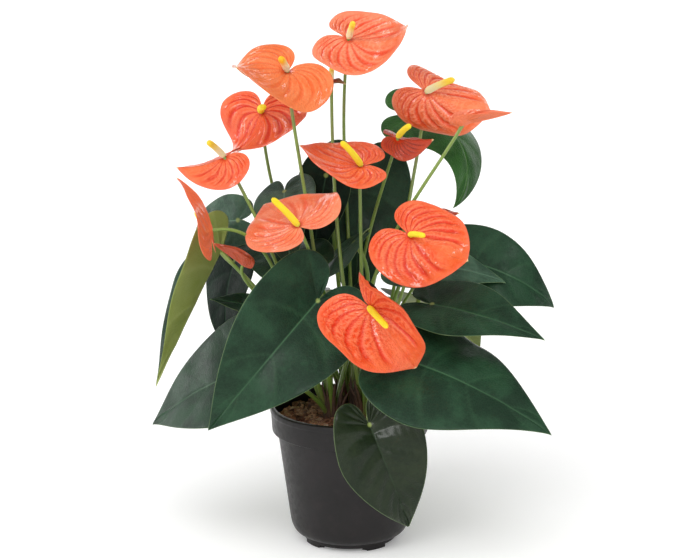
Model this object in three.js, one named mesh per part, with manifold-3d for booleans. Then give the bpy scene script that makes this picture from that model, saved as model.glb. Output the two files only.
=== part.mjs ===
// Potted anthurium in a 14 cm nursery pot: pot, bark substrate, three crowns with their stalks,
// heart-shaped leaves, and blooms, each a glossy spathe with its finger-like spadix.
// Millimetres, +Z up. The origin is the middle of the pot's foot, on the surface it stands on.
import * as THREE from "three";
import { mergeVertices } from "three/addons/utils/BufferGeometryUtils.js";
import Module from "manifold-3d";

const wasm = await Module();
wasm.setup();

// ---------- driving dimensions ----------
const POT = {
  height: 122,
  rimRadius: 70,
  rimBand: 22, // height of the thick band below the lip
  neckRadius: 63.5, // body just under the band
  waistRadius: 52, // body where it rounds in to the foot
  waistHeight: 16,
  footRadius: 41,
  footWidth: 4,
  wall: 2.2,
  floorTop: 6.5,
  recess: 3.8, // underside of the floor above the table
  sides: 36,
};
const NOTCH = { count: 4, spread: 62, height: 3, first: -100 }; // air gaps under the foot, degrees
const DRAIN = { count: 8, radius: 4, circle: 27 };
const CLEARANCE = 0.42; // between pieces that touch
const SOIL = { top: 112, relief: 1.8, rings: 7, sectors: 32, seed: 41 };
// The stalks start on the crown's ring, this deep in it.
const CROWN = { radius: 8.5, foot: 98, top: 124, sides: 12, ring: 4.7, rooted: 8 };
const CROWNS = { left: [-15, -6], right: [15, -8], back: [1, 17] };
const BLADE_THICKNESS = 0.8;
const LEAF_STALK = { foot: 2.3, head: 1.8, sides: 5, steps: 6 };
const BLOOM_STALK = { foot: 2.0, head: 1.6, sides: 5, steps: 6 };

// ---------- colours ----------
const COLOUR = {
  pot: "#3a3736",
  soil: "#5a3a2c",
  stalk: "#7f9a45",
  leaf: "#2f4d40",
  olive: "#5d6b2b",
  spathe: "#f0643f",
  darkSpathe: "#b8342a",
  oldSpathe: "#8a6248",
  yellow: "#f5d52c",
  cream: "#f3ebc0",
};

// ---------- small helpers ----------
const rad = THREE.MathUtils.degToRad;
const ease = (t) => THREE.MathUtils.smoothstep(t, 0, 1);

function seeded(seed) {
  let state = seed;
  return () => {
    state = (state * 16807) % 2147483647;
    return state / 2147483647;
  };
}

function material(colour, roughness) {
  return new THREE.MeshStandardMaterial({ color: colour, roughness, metalness: 0 });
}

function geometryOf(positions, triangles) {
  const geometry = new THREE.BufferGeometry();
  geometry.setAttribute("position", new THREE.Float32BufferAttribute(positions, 3));
  geometry.setIndex(triangles);
  return geometry;
}

function solid(geometry) {
  const bare = geometry.clone();
  for (const name of Object.keys(bare.attributes))
    if (name !== "position") bare.deleteAttribute(name);
  const merged = mergeVertices(bare, 1e-4);
  return new wasm.Manifold(
    new wasm.Mesh({
      numProp: 3,
      vertProperties: merged.attributes.position.array,
      triVerts: new Uint32Array(merged.index.array),
    }),
  );
}

function fromSolid(manifold) {
  const mesh = manifold.getMesh();
  return geometryOf(Array.from(mesh.vertProperties), Array.from(mesh.triVerts));
}

function lathe(profile, sides) {
  const points = profile.map(([r, z]) => new THREE.Vector2(r, z));
  return new THREE.LatheGeometry(points, sides).rotateX(Math.PI / 2);
}

// ---------- heart-shaped blades ----------
// One half of each outline, with the midrib from the stalk (0, 0) to the tip at (1, 0):
// out of the sinus round the basal lobe, over the widest place and on to the tip.
const OUTLINES = {
  leaf: [
    [[0, 0], [-0.1, 0.006], [-0.235, 0.04], [-0.235, 0.15]],
    [[-0.235, 0.15], [-0.235, 0.28], [-0.06, 0.355], [0.13, 0.355]],
    [[0.13, 0.355], [0.44, 0.355], [0.8, 0.075], [1, 0]],
  ],
  spathe: [
    [[0, 0], [-0.1, 0.01], [-0.36, 0.03], [-0.4, 0.24]],
    [[-0.4, 0.24], [-0.44, 0.52], [-0.16, 0.66], [0.1, 0.66]],
    [[0.1, 0.66], [0.5, 0.66], [0.83, 0.16], [1, 0]],
  ],
};
const HALF_WIDTH = { leaf: 0.36, spathe: 0.66 };
const SPANS = [0, 0.26, 0.52, 1]; // where each outline's three curves begin and end
const FAN = 0.4; // veins before this share of the outline start at the stalk
const LEAF_SHAPE = { outline: "leaf", vein: 0.6, columns: 12, rows: 2, veins: 6 };
const SPATHE_SHAPE = { outline: "spathe", vein: 0.7, columns: 12, rows: 3, veins: 6 };
const BLADE = {
  heading: 0,
  pitch: 0,
  roll: 0,
  arch: 0, // how far the midrib bends down from stalk to tip
  fold: [0, 0], // left and right half, up from the midrib's level
  ear: [0, 0], // more fold at the basal lobes
  curl: 0, // each half curves up towards its margin
  width: 1,
  lobe: 1,
  wave: 1.2, // height of the margin's waves
  waves: 3,
  rise: 0.6, // how straight up its stalk leaves the crown
  arrive: 0.5, // how squarely the stalk meets the blade
  neck: 0.25, // share of the stalk that this takes
  sway: [0, 0], // how far the stalk bows sideways
};

function outlinePoint(name, s) {
  const part = s <= SPANS[1] ? 0 : s <= SPANS[2] ? 1 : 2;
  const t = (s - SPANS[part]) / (SPANS[part + 1] - SPANS[part]);
  const [a, b, c, d] = OUTLINES[name][part];
  const mix = (k) =>
    (1 - t) ** 3 * a[k] + 3 * (1 - t) ** 2 * t * b[k] + 3 * (1 - t) * t * t * c[k] + t ** 3 * d[k];
  return [mix(0), mix(1)];
}

function bladeTurn(blade) {
  return new THREE.Matrix4()
    .makeRotationZ(rad(blade.heading))
    .multiply(new THREE.Matrix4().makeRotationY(-rad(blade.pitch)))
    .multiply(new THREE.Matrix4().makeRotationX(rad(blade.roll)));
}

// A point of the blade's middle surface: side 1 is left of the midrib and -1 right of it,
// s runs round the outline and v from the midrib out to the margin.
function bladePoint(shape, blade, side, s, v) {
  const [ox, oy] = outlinePoint(shape.outline, s);
  const spine = s > FAN ? ((s - FAN) / (1 - FAN)) ** 1.15 : 0;
  const flatX = spine + v * (ox - spine);
  const x = (flatX < 0 ? flatX * blade.lobe : flatX) * blade.length;
  const y = v * oy * blade.width * blade.length;
  const hand = side > 0 ? 0 : 1;
  const fold = rad(blade.fold[hand] + blade.ear[hand] * ease((0.3 - x / blade.length) / 0.5));
  const across = rad(blade.curl || 0.01) / (HALF_WIDTH[shape.outline] * blade.width * blade.length);
  const slope = fold + across * y;
  const ridge = shape.vein * Math.cos(2 * Math.PI * shape.veins * s) * Math.sin(Math.PI * v) ** 0.8;
  const wave = blade.wave * v * v * Math.sin(2 * Math.PI * blade.waves * s + side) * Math.sin(Math.PI * s);
  const lift = ridge + wave;
  const out = (Math.sin(slope) - Math.sin(fold)) / across - lift * Math.sin(slope);
  const up = (Math.cos(fold) - Math.cos(slope)) / across + lift * Math.cos(slope);
  const bend = x >= 0 ? rad(blade.arch || 0.01) / blade.length : 1e-6;
  const angle = -bend * x;
  const point = new THREE.Vector3(
    Math.sin(bend * x) / bend - up * Math.sin(angle),
    side * out,
    -(1 - Math.cos(bend * x)) / bend + up * Math.cos(angle),
  );
  return point.applyMatrix4(bladeTurn(blade)).add(new THREE.Vector3(...blade.at));
}

// The blade as one closed solid: the middle surface moved both ways along its normals,
// split into triangles alike on both faces, and joined round the margin.
function bladeGeometry(shape, blade) {
  const points = [];
  const place = (side, s, v) => points.push(bladePoint(shape, blade, side, s, v)) - 1;
  const root = place(1, 0, 0);
  const tip = place(1, 1, 0);
  const half = { "1": [], "-1": [] };
  const triangles = [];
  for (const side of [1, -1]) {
    for (let i = 0; i <= shape.columns; i++) {
      const s = i / shape.columns;
      half[side][i] = [];
      for (let j = 0; j <= shape.rows; j++) {
        if (i === 0 || (j === 0 && s <= FAN)) half[side][i][j] = root;
        else if (i === shape.columns) half[side][i][j] = tip;
        else if (j === 0 && side < 0) half[side][i][j] = half[1][i][0];
        else half[side][i][j] = place(side, s, j / shape.rows);
      }
    }
    for (let i = 0; i < shape.columns; i++)
      for (let j = 0; j < shape.rows; j++) {
        const a = half[side][i][j];
        const b = half[side][i + 1][j];
        const c = half[side][i + 1][j + 1];
        const d = half[side][i][j + 1];
        for (const [p, q, r] of [[a, b, c], [a, c, d]])
          if (p !== q && q !== r && r !== p) triangles.push(side > 0 ? [p, q, r] : [p, r, q]);
      }
  }
  return thickened(points, triangles, marginOf(half, shape));
}

function marginOf(half, shape) {
  const left = half[1].map((column) => column[shape.rows]);
  const right = half[-1].map((column) => column[shape.rows]);
  return left.concat(right.slice(1, -1).reverse());
}

function thickened(points, triangles, margin) {
  const normals = points.map(() => new THREE.Vector3());
  const face = new THREE.Vector3();
  const edge = new THREE.Vector3();
  for (const [a, b, c] of triangles) {
    face.subVectors(points[b], points[a]).cross(edge.subVectors(points[c], points[a]));
    for (const corner of [a, b, c]) normals[corner].add(face);
  }
  const positions = [];
  for (const way of [1, -1])
    points.forEach((point, k) => {
      const moved = normals[k].clone().setLength((way * BLADE_THICKNESS) / 2).add(point);
      positions.push(moved.x, moved.y, moved.z);
    });
  const low = points.length;
  const index = [];
  for (const [a, b, c] of triangles) {
    index.push(a, b, c, low + a, low + c, low + b);
  }
  margin.forEach((a, k) => {
    const b = margin[(k + 1) % margin.length];
    index.push(a, b, low + b, a, low + b, low + a);
  });
  return geometryOf(positions, index);
}

// ---------- round stalks, spadices ----------
// A round body swept along a curve, closed at both ends: radiusAt gives its radius at
// share t of the length and corner k of the section.
function sweptGeometry(curve, steps, sides, radiusAt) {
  const frames = curve.computeFrenetFrames(steps, false);
  const positions = [];
  const index = [];
  for (let i = 0; i <= steps; i++) {
    const centre = curve.getPointAt(i / steps);
    for (let k = 0; k < sides; k++) {
      const turn = (2 * Math.PI * (k + 0.5 * (i % 2))) / sides;
      const radius = radiusAt(i / steps, i, k);
      const corner = centre
        .clone()
        .addScaledVector(frames.normals[i], radius * Math.cos(turn))
        .addScaledVector(frames.binormals[i], radius * Math.sin(turn));
      positions.push(corner.x, corner.y, corner.z);
    }
  }
  for (let i = 0; i < steps; i++)
    for (let k = 0; k < sides; k++) {
      const next = (k + 1) % sides;
      const [a, b] = [i * sides + k, i * sides + next];
      const [c, d] = [(i + 1) * sides + k, (i + 1) * sides + next];
      if (i % 2) index.push(a, d, c, a, b, d);
      else index.push(a, b, c, b, d, c);
    }
  const first = positions.length / 3;
  for (const t of [0, 1]) {
    const centre = curve.getPointAt(t);
    positions.push(centre.x, centre.y, centre.z);
  }
  for (let k = 0; k < sides; k++) {
    const next = (k + 1) % sides;
    index.push(first, next, k, first + 1, steps * sides + k, steps * sides + next);
  }
  return geometryOf(positions, index);
}

function bladeNormal(blade) {
  return new THREE.Vector3(0, 0, 1).applyMatrix4(bladeTurn(blade));
}

// How far from the blade's middle surface a round end of this radius stops, above it (way 1)
// or below it (way -1), so that it clears both halves where they fold towards it.
function seatGap(blade, radius, way) {
  const atRoot = ease(0.6);
  const slopes = blade.fold.map((fold, hand) => rad(way * (fold + atRoot * blade.ear[hand])));
  const skin = BLADE_THICKNESS / 2 / Math.cos(Math.max(...slopes.map(Math.abs)));
  return skin + CLEARANCE + radius * Math.tan(Math.max(0, ...slopes));
}

// A stalk from its crown to just under the blade it carries.
function stalkCurve(blade, head) {
  const [cx, cy] = CROWNS[blade.crown];
  const normal = bladeNormal(blade);
  const end = new THREE.Vector3(...blade.at).addScaledVector(normal, -seatGap(blade, head, -1));
  const away = Math.atan2(end.y - cy, end.x - cx);
  const start = new THREE.Vector3(
    cx + CROWN.ring * Math.cos(away),
    cy + CROWN.ring * Math.sin(away),
    CROWN.top - CROWN.rooted,
  );
  const span = start.distanceTo(end);
  const chord = end.clone().sub(start).normalize();
  const rise = chord.clone().lerp(new THREE.Vector3(0, 0, 1), blade.rise).normalize();
  const arrive = chord.clone().lerp(normal, blade.arrive).normalize();
  const sway = new THREE.Vector3(...blade.sway, 0);
  return new THREE.CubicBezierCurve3(
    start,
    start.clone().addScaledVector(rise, 0.4 * span).add(sway),
    end.clone().addScaledVector(arrive, -blade.neck * span).add(sway),
    end,
  );
}

function stalk(blade, size) {
  return sweptGeometry(stalkCurve(blade, size.head), size.steps, size.sides, (t) =>
    THREE.MathUtils.lerp(size.foot, size.head, t),
  );
}

function crownGeometry([x, y]) {
  const { radius, foot, top } = CROWN;
  const profile = [
    [0, foot],
    [radius - 1, foot],
    [radius, foot + 2],
    [radius, top - 6],
    [radius * 0.75, top - 2],
    [0, top],
  ];
  return lathe(profile, CROWN.sides).translate(x, y, 0);
}

// A spadix: a slim finger of florets, standing in the spathe's sinus.
function spadixGeometry(bloom) {
  const { length, radius, rise, swing } = bloom.spadix;
  const along = new THREE.Vector3(Math.cos(rad(swing)), Math.sin(rad(swing)), 0)
    .multiplyScalar(Math.cos(rad(rise)))
    .add(new THREE.Vector3(0, 0, Math.sin(rad(rise))))
    .applyMatrix4(bladeTurn(bloom));
  const normal = bladeNormal(bloom);
  const start = new THREE.Vector3(...bloom.at).addScaledVector(normal, seatGap(bloom, 0.45 * radius, 1));
  const curve = new THREE.QuadraticBezierCurve3(
    start,
    start.clone().addScaledVector(normal, 0.4 * length),
    start.clone().addScaledVector(along, length),
  );
  return sweptGeometry(curve, 8, 6, (t, i, k) => {
    const body = radius * Math.min(1, 0.45 + 4 * t) * (1 - 0.28 * t);
    const end = t === 1 ? 0.45 : 1;
    return body * end * ((i + k) % 2 ? 1.08 : 0.92);
  });
}

// ---------- pot and substrate ----------
function potGeometry() {
  const { height, rimRadius, rimBand, neckRadius, waistRadius, waistHeight } = POT;
  const { footRadius, footWidth, wall, floorTop, recess } = POT;
  const band = height - rimBand;
  const profile = [
    [0, recess],
    [footRadius - footWidth, recess],
    [footRadius - footWidth, 0],
    [footRadius - 0.6, 0],
    [footRadius, 0.6],
    [footRadius, 5.5],
    [footRadius + 5, 7.5],
    [waistRadius - 2, waistHeight - 5],
    [waistRadius, waistHeight],
    [neckRadius, band - 1],
    [rimRadius - 3.2, band + 0.4],
    [rimRadius - 1.2, band + 3],
    [rimRadius - 0.5, height - 5],
    [rimRadius, height - 3.2],
    [rimRadius - 0.6, height - 0.8],
    [rimRadius - 2, height],
    [rimRadius - 3.6, height - 0.8],
    [rimRadius - 4.2, height - 3],
    [rimRadius - 4.6, band + 2],
    [neckRadius - wall, band - 4],
    [waistRadius - wall, waistHeight],
    [waistRadius - wall - 4, floorTop + 1.5],
    [waistRadius - wall - 8, floorTop],
    [0, floorTop],
  ];
  return lathe(profile, POT.sides);
}

function notchGeometry(middle) {
  const shape = new THREE.Shape();
  const inner = POT.footRadius - POT.footWidth - 2;
  const outer = POT.footRadius + 2;
  const from = rad(middle - NOTCH.spread / 2);
  const to = rad(middle + NOTCH.spread / 2);
  shape.absarc(0, 0, outer, from, to, false);
  shape.absarc(0, 0, inner, to, from, true);
  const depth = NOTCH.height + 2;
  const settings = { depth, bevelEnabled: false, curveSegments: 8 };
  return new THREE.ExtrudeGeometry(shape, settings).translate(0, 0, -2);
}

function pot() {
  let body = solid(potGeometry());
  for (let k = 0; k < NOTCH.count; k++)
    body = body.subtract(solid(notchGeometry(NOTCH.first + (360 * k) / NOTCH.count)));
  for (let k = 0; k < DRAIN.count; k++) {
    const turn = (2 * Math.PI * k) / DRAIN.count;
    const hole = new THREE.CylinderGeometry(DRAIN.radius, DRAIN.radius, 12, 10)
      .rotateX(Math.PI / 2)
      .translate(DRAIN.circle * Math.cos(turn), DRAIN.circle * Math.sin(turn), 5);
    body = body.subtract(solid(hole));
  }
  return fromSolid(body);
}

// The bark substrate: a plug that follows the pot's wall, with a rough top of chips and gaps.
function substrateGeometry() {
  const { wall, waistRadius, waistHeight, neckRadius, height, rimBand, floorTop } = POT;
  const band = height - rimBand;
  const gap = CLEARANCE + 0.25;
  const sides = [
    [waistRadius - wall - 8 - gap, floorTop + CLEARANCE],
    [waistRadius - wall - 4 - gap, floorTop + 1.5 + CLEARANCE],
    [waistRadius - wall - gap, waistHeight],
    [neckRadius - wall - gap, band - 4],
    [neckRadius - wall + 2, band + 1.5],
  ];
  const random = seeded(SOIL.seed);
  const rim = neckRadius - wall + 2.6;
  const tops = [];
  for (let ring = 0; ring < SOIL.rings; ring++) tops.push([rim * (1 - ring / SOIL.rings), SOIL.top]);
  const rows = sides.concat(tops);
  const positions = [0, 0, floorTop + CLEARANCE];
  rows.forEach(([radius, z], row) => {
    for (let k = 0; k < SOIL.sectors; k++) {
      const turn = (2 * Math.PI * (k + 0.5 * (row % 2))) / SOIL.sectors;
      const rough = row > sides.length ? SOIL.relief * (2 * random() - 1) : 0;
      positions.push(radius * Math.cos(turn), radius * Math.sin(turn), z + rough);
    }
  });
  positions.push(0, 0, SOIL.top);
  const last = positions.length / 3 - 1;
  const index = [];
  const at = (row, k) => 1 + row * SOIL.sectors + (k % SOIL.sectors);
  for (let k = 0; k < SOIL.sectors; k++) {
    index.push(0, at(0, k + 1), at(0, k));
    index.push(at(rows.length - 1, k), at(rows.length - 1, k + 1), last);
    for (let row = 0; row + 1 < rows.length; row++) {
      const [a, b, c, d] = [at(row, k), at(row, k + 1), at(row + 1, k), at(row + 1, k + 1)];
      if (row % 2) index.push(a, d, c, a, b, d);
      else index.push(a, b, c, b, d, c);
    }
  }
  return geometryOf(positions, index);
}

function substrate() {
  let body = solid(substrateGeometry());
  for (const [x, y] of Object.values(CROWNS)) {
    const depth = SOIL.top + 10 - CROWN.foot + CLEARANCE;
    const radius = CROWN.radius + CLEARANCE;
    const hole = new THREE.CylinderGeometry(radius, radius, depth, 2 * CROWN.sides)
      .rotateX(Math.PI / 2)
      .translate(x, y, CROWN.foot - CLEARANCE + depth / 2);
    body = body.subtract(solid(hole));
  }
  return fromSolid(body);
}

// ---------- the plant ----------
// Each leaf: where its stalk meets the blade, its length from there to the tip, and its set.
const LEAVES = {
  front_left: {
    crown: "left", at: [-27, -72, 233], length: 150, heading: -142, pitch: -39, roll: -54,
    arch: 53, fold: [6, 21], curl: 4, width: 0.96, lobe: 0.86,
    rise: 0.8, arrive: 0.8, neck: 0.08,
  },
  low_left: {
    crown: "left", at: [-81, -46, 171], length: 145, heading: 153, pitch: -25, roll: -51,
    arch: 24, fold: [8, 6], ear: [5, 0], width: 1.02,
    rise: 0.4, arrive: 0.65, neck: 0.08,
  },
  far_left: {
    crown: "left", at: [-111.6, -6.5, 260.3], length: 128, heading: 219, pitch: -56.5, roll: 17,
    arch: 1, fold: [50, 17], ear: [9, -17], curl: 1, width: 1.01, colour: "olive",
    sway: [0, -6],
  },
  middle_left: {
    crown: "left", at: [-39, -8, 251], length: 88, heading: 150, pitch: 15, roll: -39,
    arch: 26, fold: [7, -19], ear: [0, 30], curl: -11,
    rise: 0.8, arrive: 0.95, neck: 0.12,
  },
  shaded_left: {
    crown: "back", at: [-103, 59, 238], length: 92, heading: -125, pitch: -57, roll: 17,
    arch: 45, fold: [6, 7], curl: -8,
    rise: 1, arrive: 0.85, neck: 0.2, sway: [22, 2],
  },
  small_left: {
    crown: "left", at: [-64, 10, 200], length: 61, heading: 183, pitch: 25, roll: -24,
    arch: 25, fold: [7, 6], curl: -5,
    rise: 1, arrive: 0.8, sway: [-6, 0],
  },
  high_left: {
    crown: "back", at: [-98, 30, 281], length: 66, heading: 155, pitch: -8, roll: -70,
    arch: 50, fold: [-10, 10], curl: -7,
    rise: 0.4, arrive: 0.95, sway: [6, 0],
  },
  back_left: {
    crown: "back", at: [-57, 22, 308], length: 87, heading: -91, pitch: -29, roll: 23,
    arch: 36, fold: [5, 2], ear: [-11, -4], curl: -6, width: 0.95, lobe: 0.95,
    arrive: 0.8, sway: [0, 12],
  },
  centre: {
    crown: "back", at: [9, 66, 316], length: 124, heading: -95, pitch: -70, roll: -8,
    arch: 18, fold: [5, 14], curl: -6, width: 1.05,
    rise: 0.8, arrive: 0.85, neck: 0.24, sway: [-2, 2],
  },
  centre_narrow: {
    crown: "back", at: [-21, 39, 319], length: 84, heading: -116, pitch: -66, roll: -20,
    arch: 30, fold: [8, 8], curl: -8, width: 0.8,
    arrive: 0.95, neck: 0.08,
  },
  grey: {
    crown: "left", at: [3, 8, 266], length: 79, heading: 175, pitch: -41, roll: -13,
    arch: 10, ear: [9, -12], curl: -11,
    rise: 0.8, arrive: 0.95, neck: 0.35, sway: [0, -6],
  },
  behind_bloom: {
    crown: "right", at: [4, -33, 230], length: 55, heading: -70, pitch: -22, roll: 10,
    arch: 41, fold: [9, 7],
    rise: 0.8, neck: 0.18,
  },
  high_right: {
    crown: "back", at: [56, 99, 364], length: 117, heading: -6, pitch: -1, roll: -21,
    arch: 129, fold: [29, -35], ear: [23, -5], curl: -16, width: 1.22, lobe: 0.96,
    rise: 1, arrive: 0.6, neck: 0.12, sway: [6, 12],
  },
  far_right: {
    crown: "right", at: [96, 20, 248], length: 108, heading: -8, pitch: -10, roll: 47,
    arch: 60, fold: [8, 4], ear: [-9, 0], curl: -8, width: 1.02,
    arrive: 0.95, neck: 0.18,
  },
  middle_right: {
    crown: "right", at: [48, 1, 248], length: 92, heading: -1, pitch: 1, roll: 32,
    arch: 31, fold: [6, 6], curl: -6,
    rise: 0.4, arrive: 0.95, sway: [-6, 6],
  },
  near_right: {
    crown: "right", at: [69, -55, 226], length: 104, heading: -30, pitch: -2, roll: 26,
    arch: 20, fold: [9, 9], ear: [-10, 5], curl: -11, lobe: 1.04,
    rise: 0.4, arrive: 0.8,
  },
  low_right: {
    crown: "right", at: [49, -90, 186], length: 135, heading: -29, pitch: -9, roll: 30,
    arch: 31, fold: [4, 2], ear: [26, 12], curl: -37, width: 1.17,
    arrive: 0.8,
  },
  front: {
    crown: "right", at: [16, -100, 134], length: 110, heading: -27, pitch: -64, roll: 55,
    arch: 49, fold: [13, 21], ear: [0, 15], curl: -2, width: 1.04, lobe: 0.94,
  },
  rear_right: {
    crown: "back", at: [62, 65, 204], length: 112, heading: 48, pitch: -22, roll: -12,
    arch: 45, fold: [8, 6],
    arrive: 0.95,
  },
  rear: {
    crown: "back", at: [8, 84, 193], length: 112, heading: 98, pitch: -28, roll: 8,
    arch: 45, fold: [7, 8],
    rise: 0.8, arrive: 0.8,
  },
  rear_left: {
    crown: "back", at: [-52, 63, 201], length: 112, heading: 128, pitch: -20, roll: 2,
    arch: 45, fold: [6, 9],
    sway: [-6, 6],
  },
  rear_high: {
    crown: "back", at: [26, 87, 254], length: 88, heading: 70, pitch: -14, roll: -6,
    arch: 45, fold: [9, 7],
    rise: 0.2, sway: [-6, 6],
  },
};

// Each bloom: the spathe as a blade, and its spadix.
const BLOOMS = {
  top: {
    crown: "back", at: [-1, -3, 444], length: 64, heading: -16, pitch: -19, roll: 27,
    arch: -75, fold: [-16, -37], ear: [-6, 3], curl: 49, width: 0.96, lobe: 0.92,
    spadix: { length: 26, radius: 2.9, rise: 65, swing: -68, colour: "cream" },
    rise: 0.7, arrive: 0.95, neck: 0.38, sway: [6, 28],
  },
  upper_left: {
    crown: "left", at: [-52, -34, 420], length: 68, heading: -130, pitch: -23, roll: -2,
    arch: -64, fold: [-12, 32], ear: [5, 8], curl: -49, width: 1, lobe: 0.84,
    spadix: { length: 27, radius: 3.2, rise: 45, swing: 38 },
    rise: 1.2, arrive: 0.05, neck: 0.18, sway: [-4, 0],
  },
  left: {
    crown: "back", at: [-76, 30, 377], length: 59, heading: -93, pitch: -53, roll: 37,
    arch: -57, fold: [-17, -9], ear: [-29, 39], width: 1.01, lobe: 0.9,
    spadix: { length: 27, radius: 3.3, rise: 38, swing: 62 },
    rise: 0.5, arrive: 0.2, neck: 0.22, sway: [-28, 34],
  },
  far_left: {
    crown: "left", at: [-106, -27, 347], length: 42, heading: 190, pitch: -29, roll: 1,
    arch: -36, fold: [-60, -4], ear: [7, -5], curl: -6, width: 0.98, lobe: 1,
    spadix: { length: 28, radius: 3, rise: 44, swing: 74, colour: "cream" },
    rise: 0, arrive: 0.5, neck: 0.4, sway: [8, -16],
  },
  middle: {
    crown: "right", at: [9, -25, 339], length: 57, heading: 181, pitch: -2, roll: -23,
    arch: -49, fold: [8, 1], ear: [-5, -1], curl: -3, lobe: 0.92,
    spadix: { length: 29, radius: 3, rise: 57, swing: 8 },
    arrive: 0.6, neck: 0.04, sway: [-2, 0],
  },
  centre_left: {
    crown: "left", at: [-43, -72, 297], length: 64, heading: 120, pitch: 10, roll: -27,
    arch: 7, fold: [2, -1], ear: [1, 10], curl: 3, width: 1.03, lobe: 1.05,
    spadix: { length: 30, radius: 3.1, rise: 46, swing: 14 },
    rise: 0.7, arrive: 0.7, neck: 0.22, sway: [6, 2],
  },
  upper_right: {
    crown: "right", at: [66, 16, 396], length: 62, heading: -13, pitch: -25, roll: 49,
    arch: -35, fold: [-9, -42], ear: [-1, 5], curl: -53, lobe: 1.02,
    spadix: { length: 30, radius: 3.4, rise: 49, swing: 27, colour: "cream" },
    rise: 0.2, arrive: 0.95, neck: 0.1, sway: [6, 40],
  },
  young_right: {
    crown: "right", at: [93, -42, 376.5], length: 43, heading: 1, pitch: 9, roll: 20,
    arch: -10, fold: [60, 60], curl: 20, width: 0.4, lobe: 0.6,
    rise: 0.9, arrive: 0.85, neck: 0.26, sway: [-40, 2],
  },
  dark: {
    crown: "back", at: [41, 5, 358], length: 31, heading: -1, pitch: -14, roll: 7,
    arch: -23, fold: [-8, -47], ear: [6, 13], curl: -7, width: 1.03, lobe: 1.05, colour: "darkSpathe",
    spadix: { length: 26, radius: 2.9, rise: 40, swing: -72 },
    rise: 1.2, neck: 0.36, sway: [-6, 38],
  },
  right: {
    crown: "right", at: [50, -63, 287], length: 69, heading: -34, pitch: -22, roll: 47,
    arch: -36, fold: [-9, -19], ear: [-4, 15], curl: -9, width: 0.89, lobe: 0.97,
    spadix: { length: 25, radius: 2.6, rise: 42, swing: 0 },
    arrive: 0.8, neck: 0.35,
  },
  hidden_right: {
    crown: "back", at: [69, 36, 280.5], length: 28, heading: -7, pitch: 18, roll: 15,
    arch: 10, width: 0.9, colour: "darkSpathe",
    spadix: { length: 14, radius: 2.2, rise: 36, swing: -24 },
    rise: 1, arrive: 0.75, neck: 0.3, sway: [8, 2],
  },
  low: {
    crown: "right", at: [16, -110, 236], length: 66, heading: -26, pitch: -48, roll: 63,
    arch: 41, fold: [28, 1], ear: [16, -18], curl: 73, width: 1.17, lobe: 0.99,
    spadix: { length: 29, radius: 3, rise: 38, swing: 6 },
    rise: 0.4, arrive: 0.35, neck: 0.12,
  },
  edge_left: {
    crown: "left", at: [-114.5, -75, 293.5], length: 54, heading: -8, pitch: 96, roll: 3,
    arch: -54, fold: [14, 3], ear: [-10, 0], curl: 6,
    spadix: { length: 20, radius: 2.8, rise: 32, swing: 20 },
    rise: 0.3, arrive: 1, neck: 0.34, sway: [-12, 24],
  },
  young_left: {
    crown: "back", at: [-90, -42, 257], length: 32, heading: 178, pitch: 32, roll: -10,
    arch: -10, fold: [60, 60], curl: 20, width: 0.5, lobe: 0.6, colour: "darkSpathe",
    rise: 0.8, arrive: 0.65, neck: 0.14, sway: [-6, -2],
  },
  old: {
    crown: "right", at: [-16, 18, 404], length: 13, heading: -12, pitch: 4, roll: 10,
    arch: 20, fold: [30, 30], width: 0.6, colour: "oldSpathe",
    spadix: { length: 13, radius: 2.4, rise: 80, swing: 5, colour: "cream" },
    arrive: 0.85, neck: 0.44, sway: [-12, -44],
  },
};

// ---------- assembly ----------
const plant = new THREE.Group();
plant.name = "potted_anthurium";

function addMesh(name, geometry, colour, roughness) {
  const mesh = new THREE.Mesh(geometry, material(colour, roughness));
  mesh.name = name;
  plant.add(mesh);
}

addMesh("pot", pot(), COLOUR.pot, 0.45);
addMesh("substrate", substrate(), COLOUR.soil, 0.95);

const stalks = { left: [], right: [], back: [] };

for (const [name, spec] of Object.entries(LEAVES)) {
  const leaf = { ...BLADE, ...spec };
  addMesh(`leaf_${name}`, bladeGeometry(LEAF_SHAPE, leaf), COLOUR[leaf.colour ?? "leaf"], 0.4);
  stalks[leaf.crown].push(stalk(leaf, LEAF_STALK));
}

for (const [name, spec] of Object.entries(BLOOMS)) {
  const bloom = { ...BLADE, ...spec };
  addMesh(`spathe_${name}`, bladeGeometry(SPATHE_SHAPE, bloom), COLOUR[bloom.colour ?? "spathe"], 0.3);
  stalks[bloom.crown].push(stalk(bloom, BLOOM_STALK));
  const { spadix } = bloom;
  if (spadix) addMesh(`spadix_${name}`, spadixGeometry(bloom), COLOUR[spadix.colour ?? "yellow"], 0.5);
}

for (const [name, tubes] of Object.entries(stalks)) {
  let body = solid(crownGeometry(CROWNS[name]));
  for (const tube of tubes) body = body.add(solid(tube));
  addMesh(`crown_${name}`, fromSolid(body), COLOUR.stalk, 0.5);
}

export default plant;
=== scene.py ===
# Potted anthurium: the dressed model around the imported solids.
# Lengths of the plant are in millimetres until a mesh is made, in the frame of the solids.
import math

import bpy
import numpy as np
from mathutils import Matrix, Vector


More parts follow.
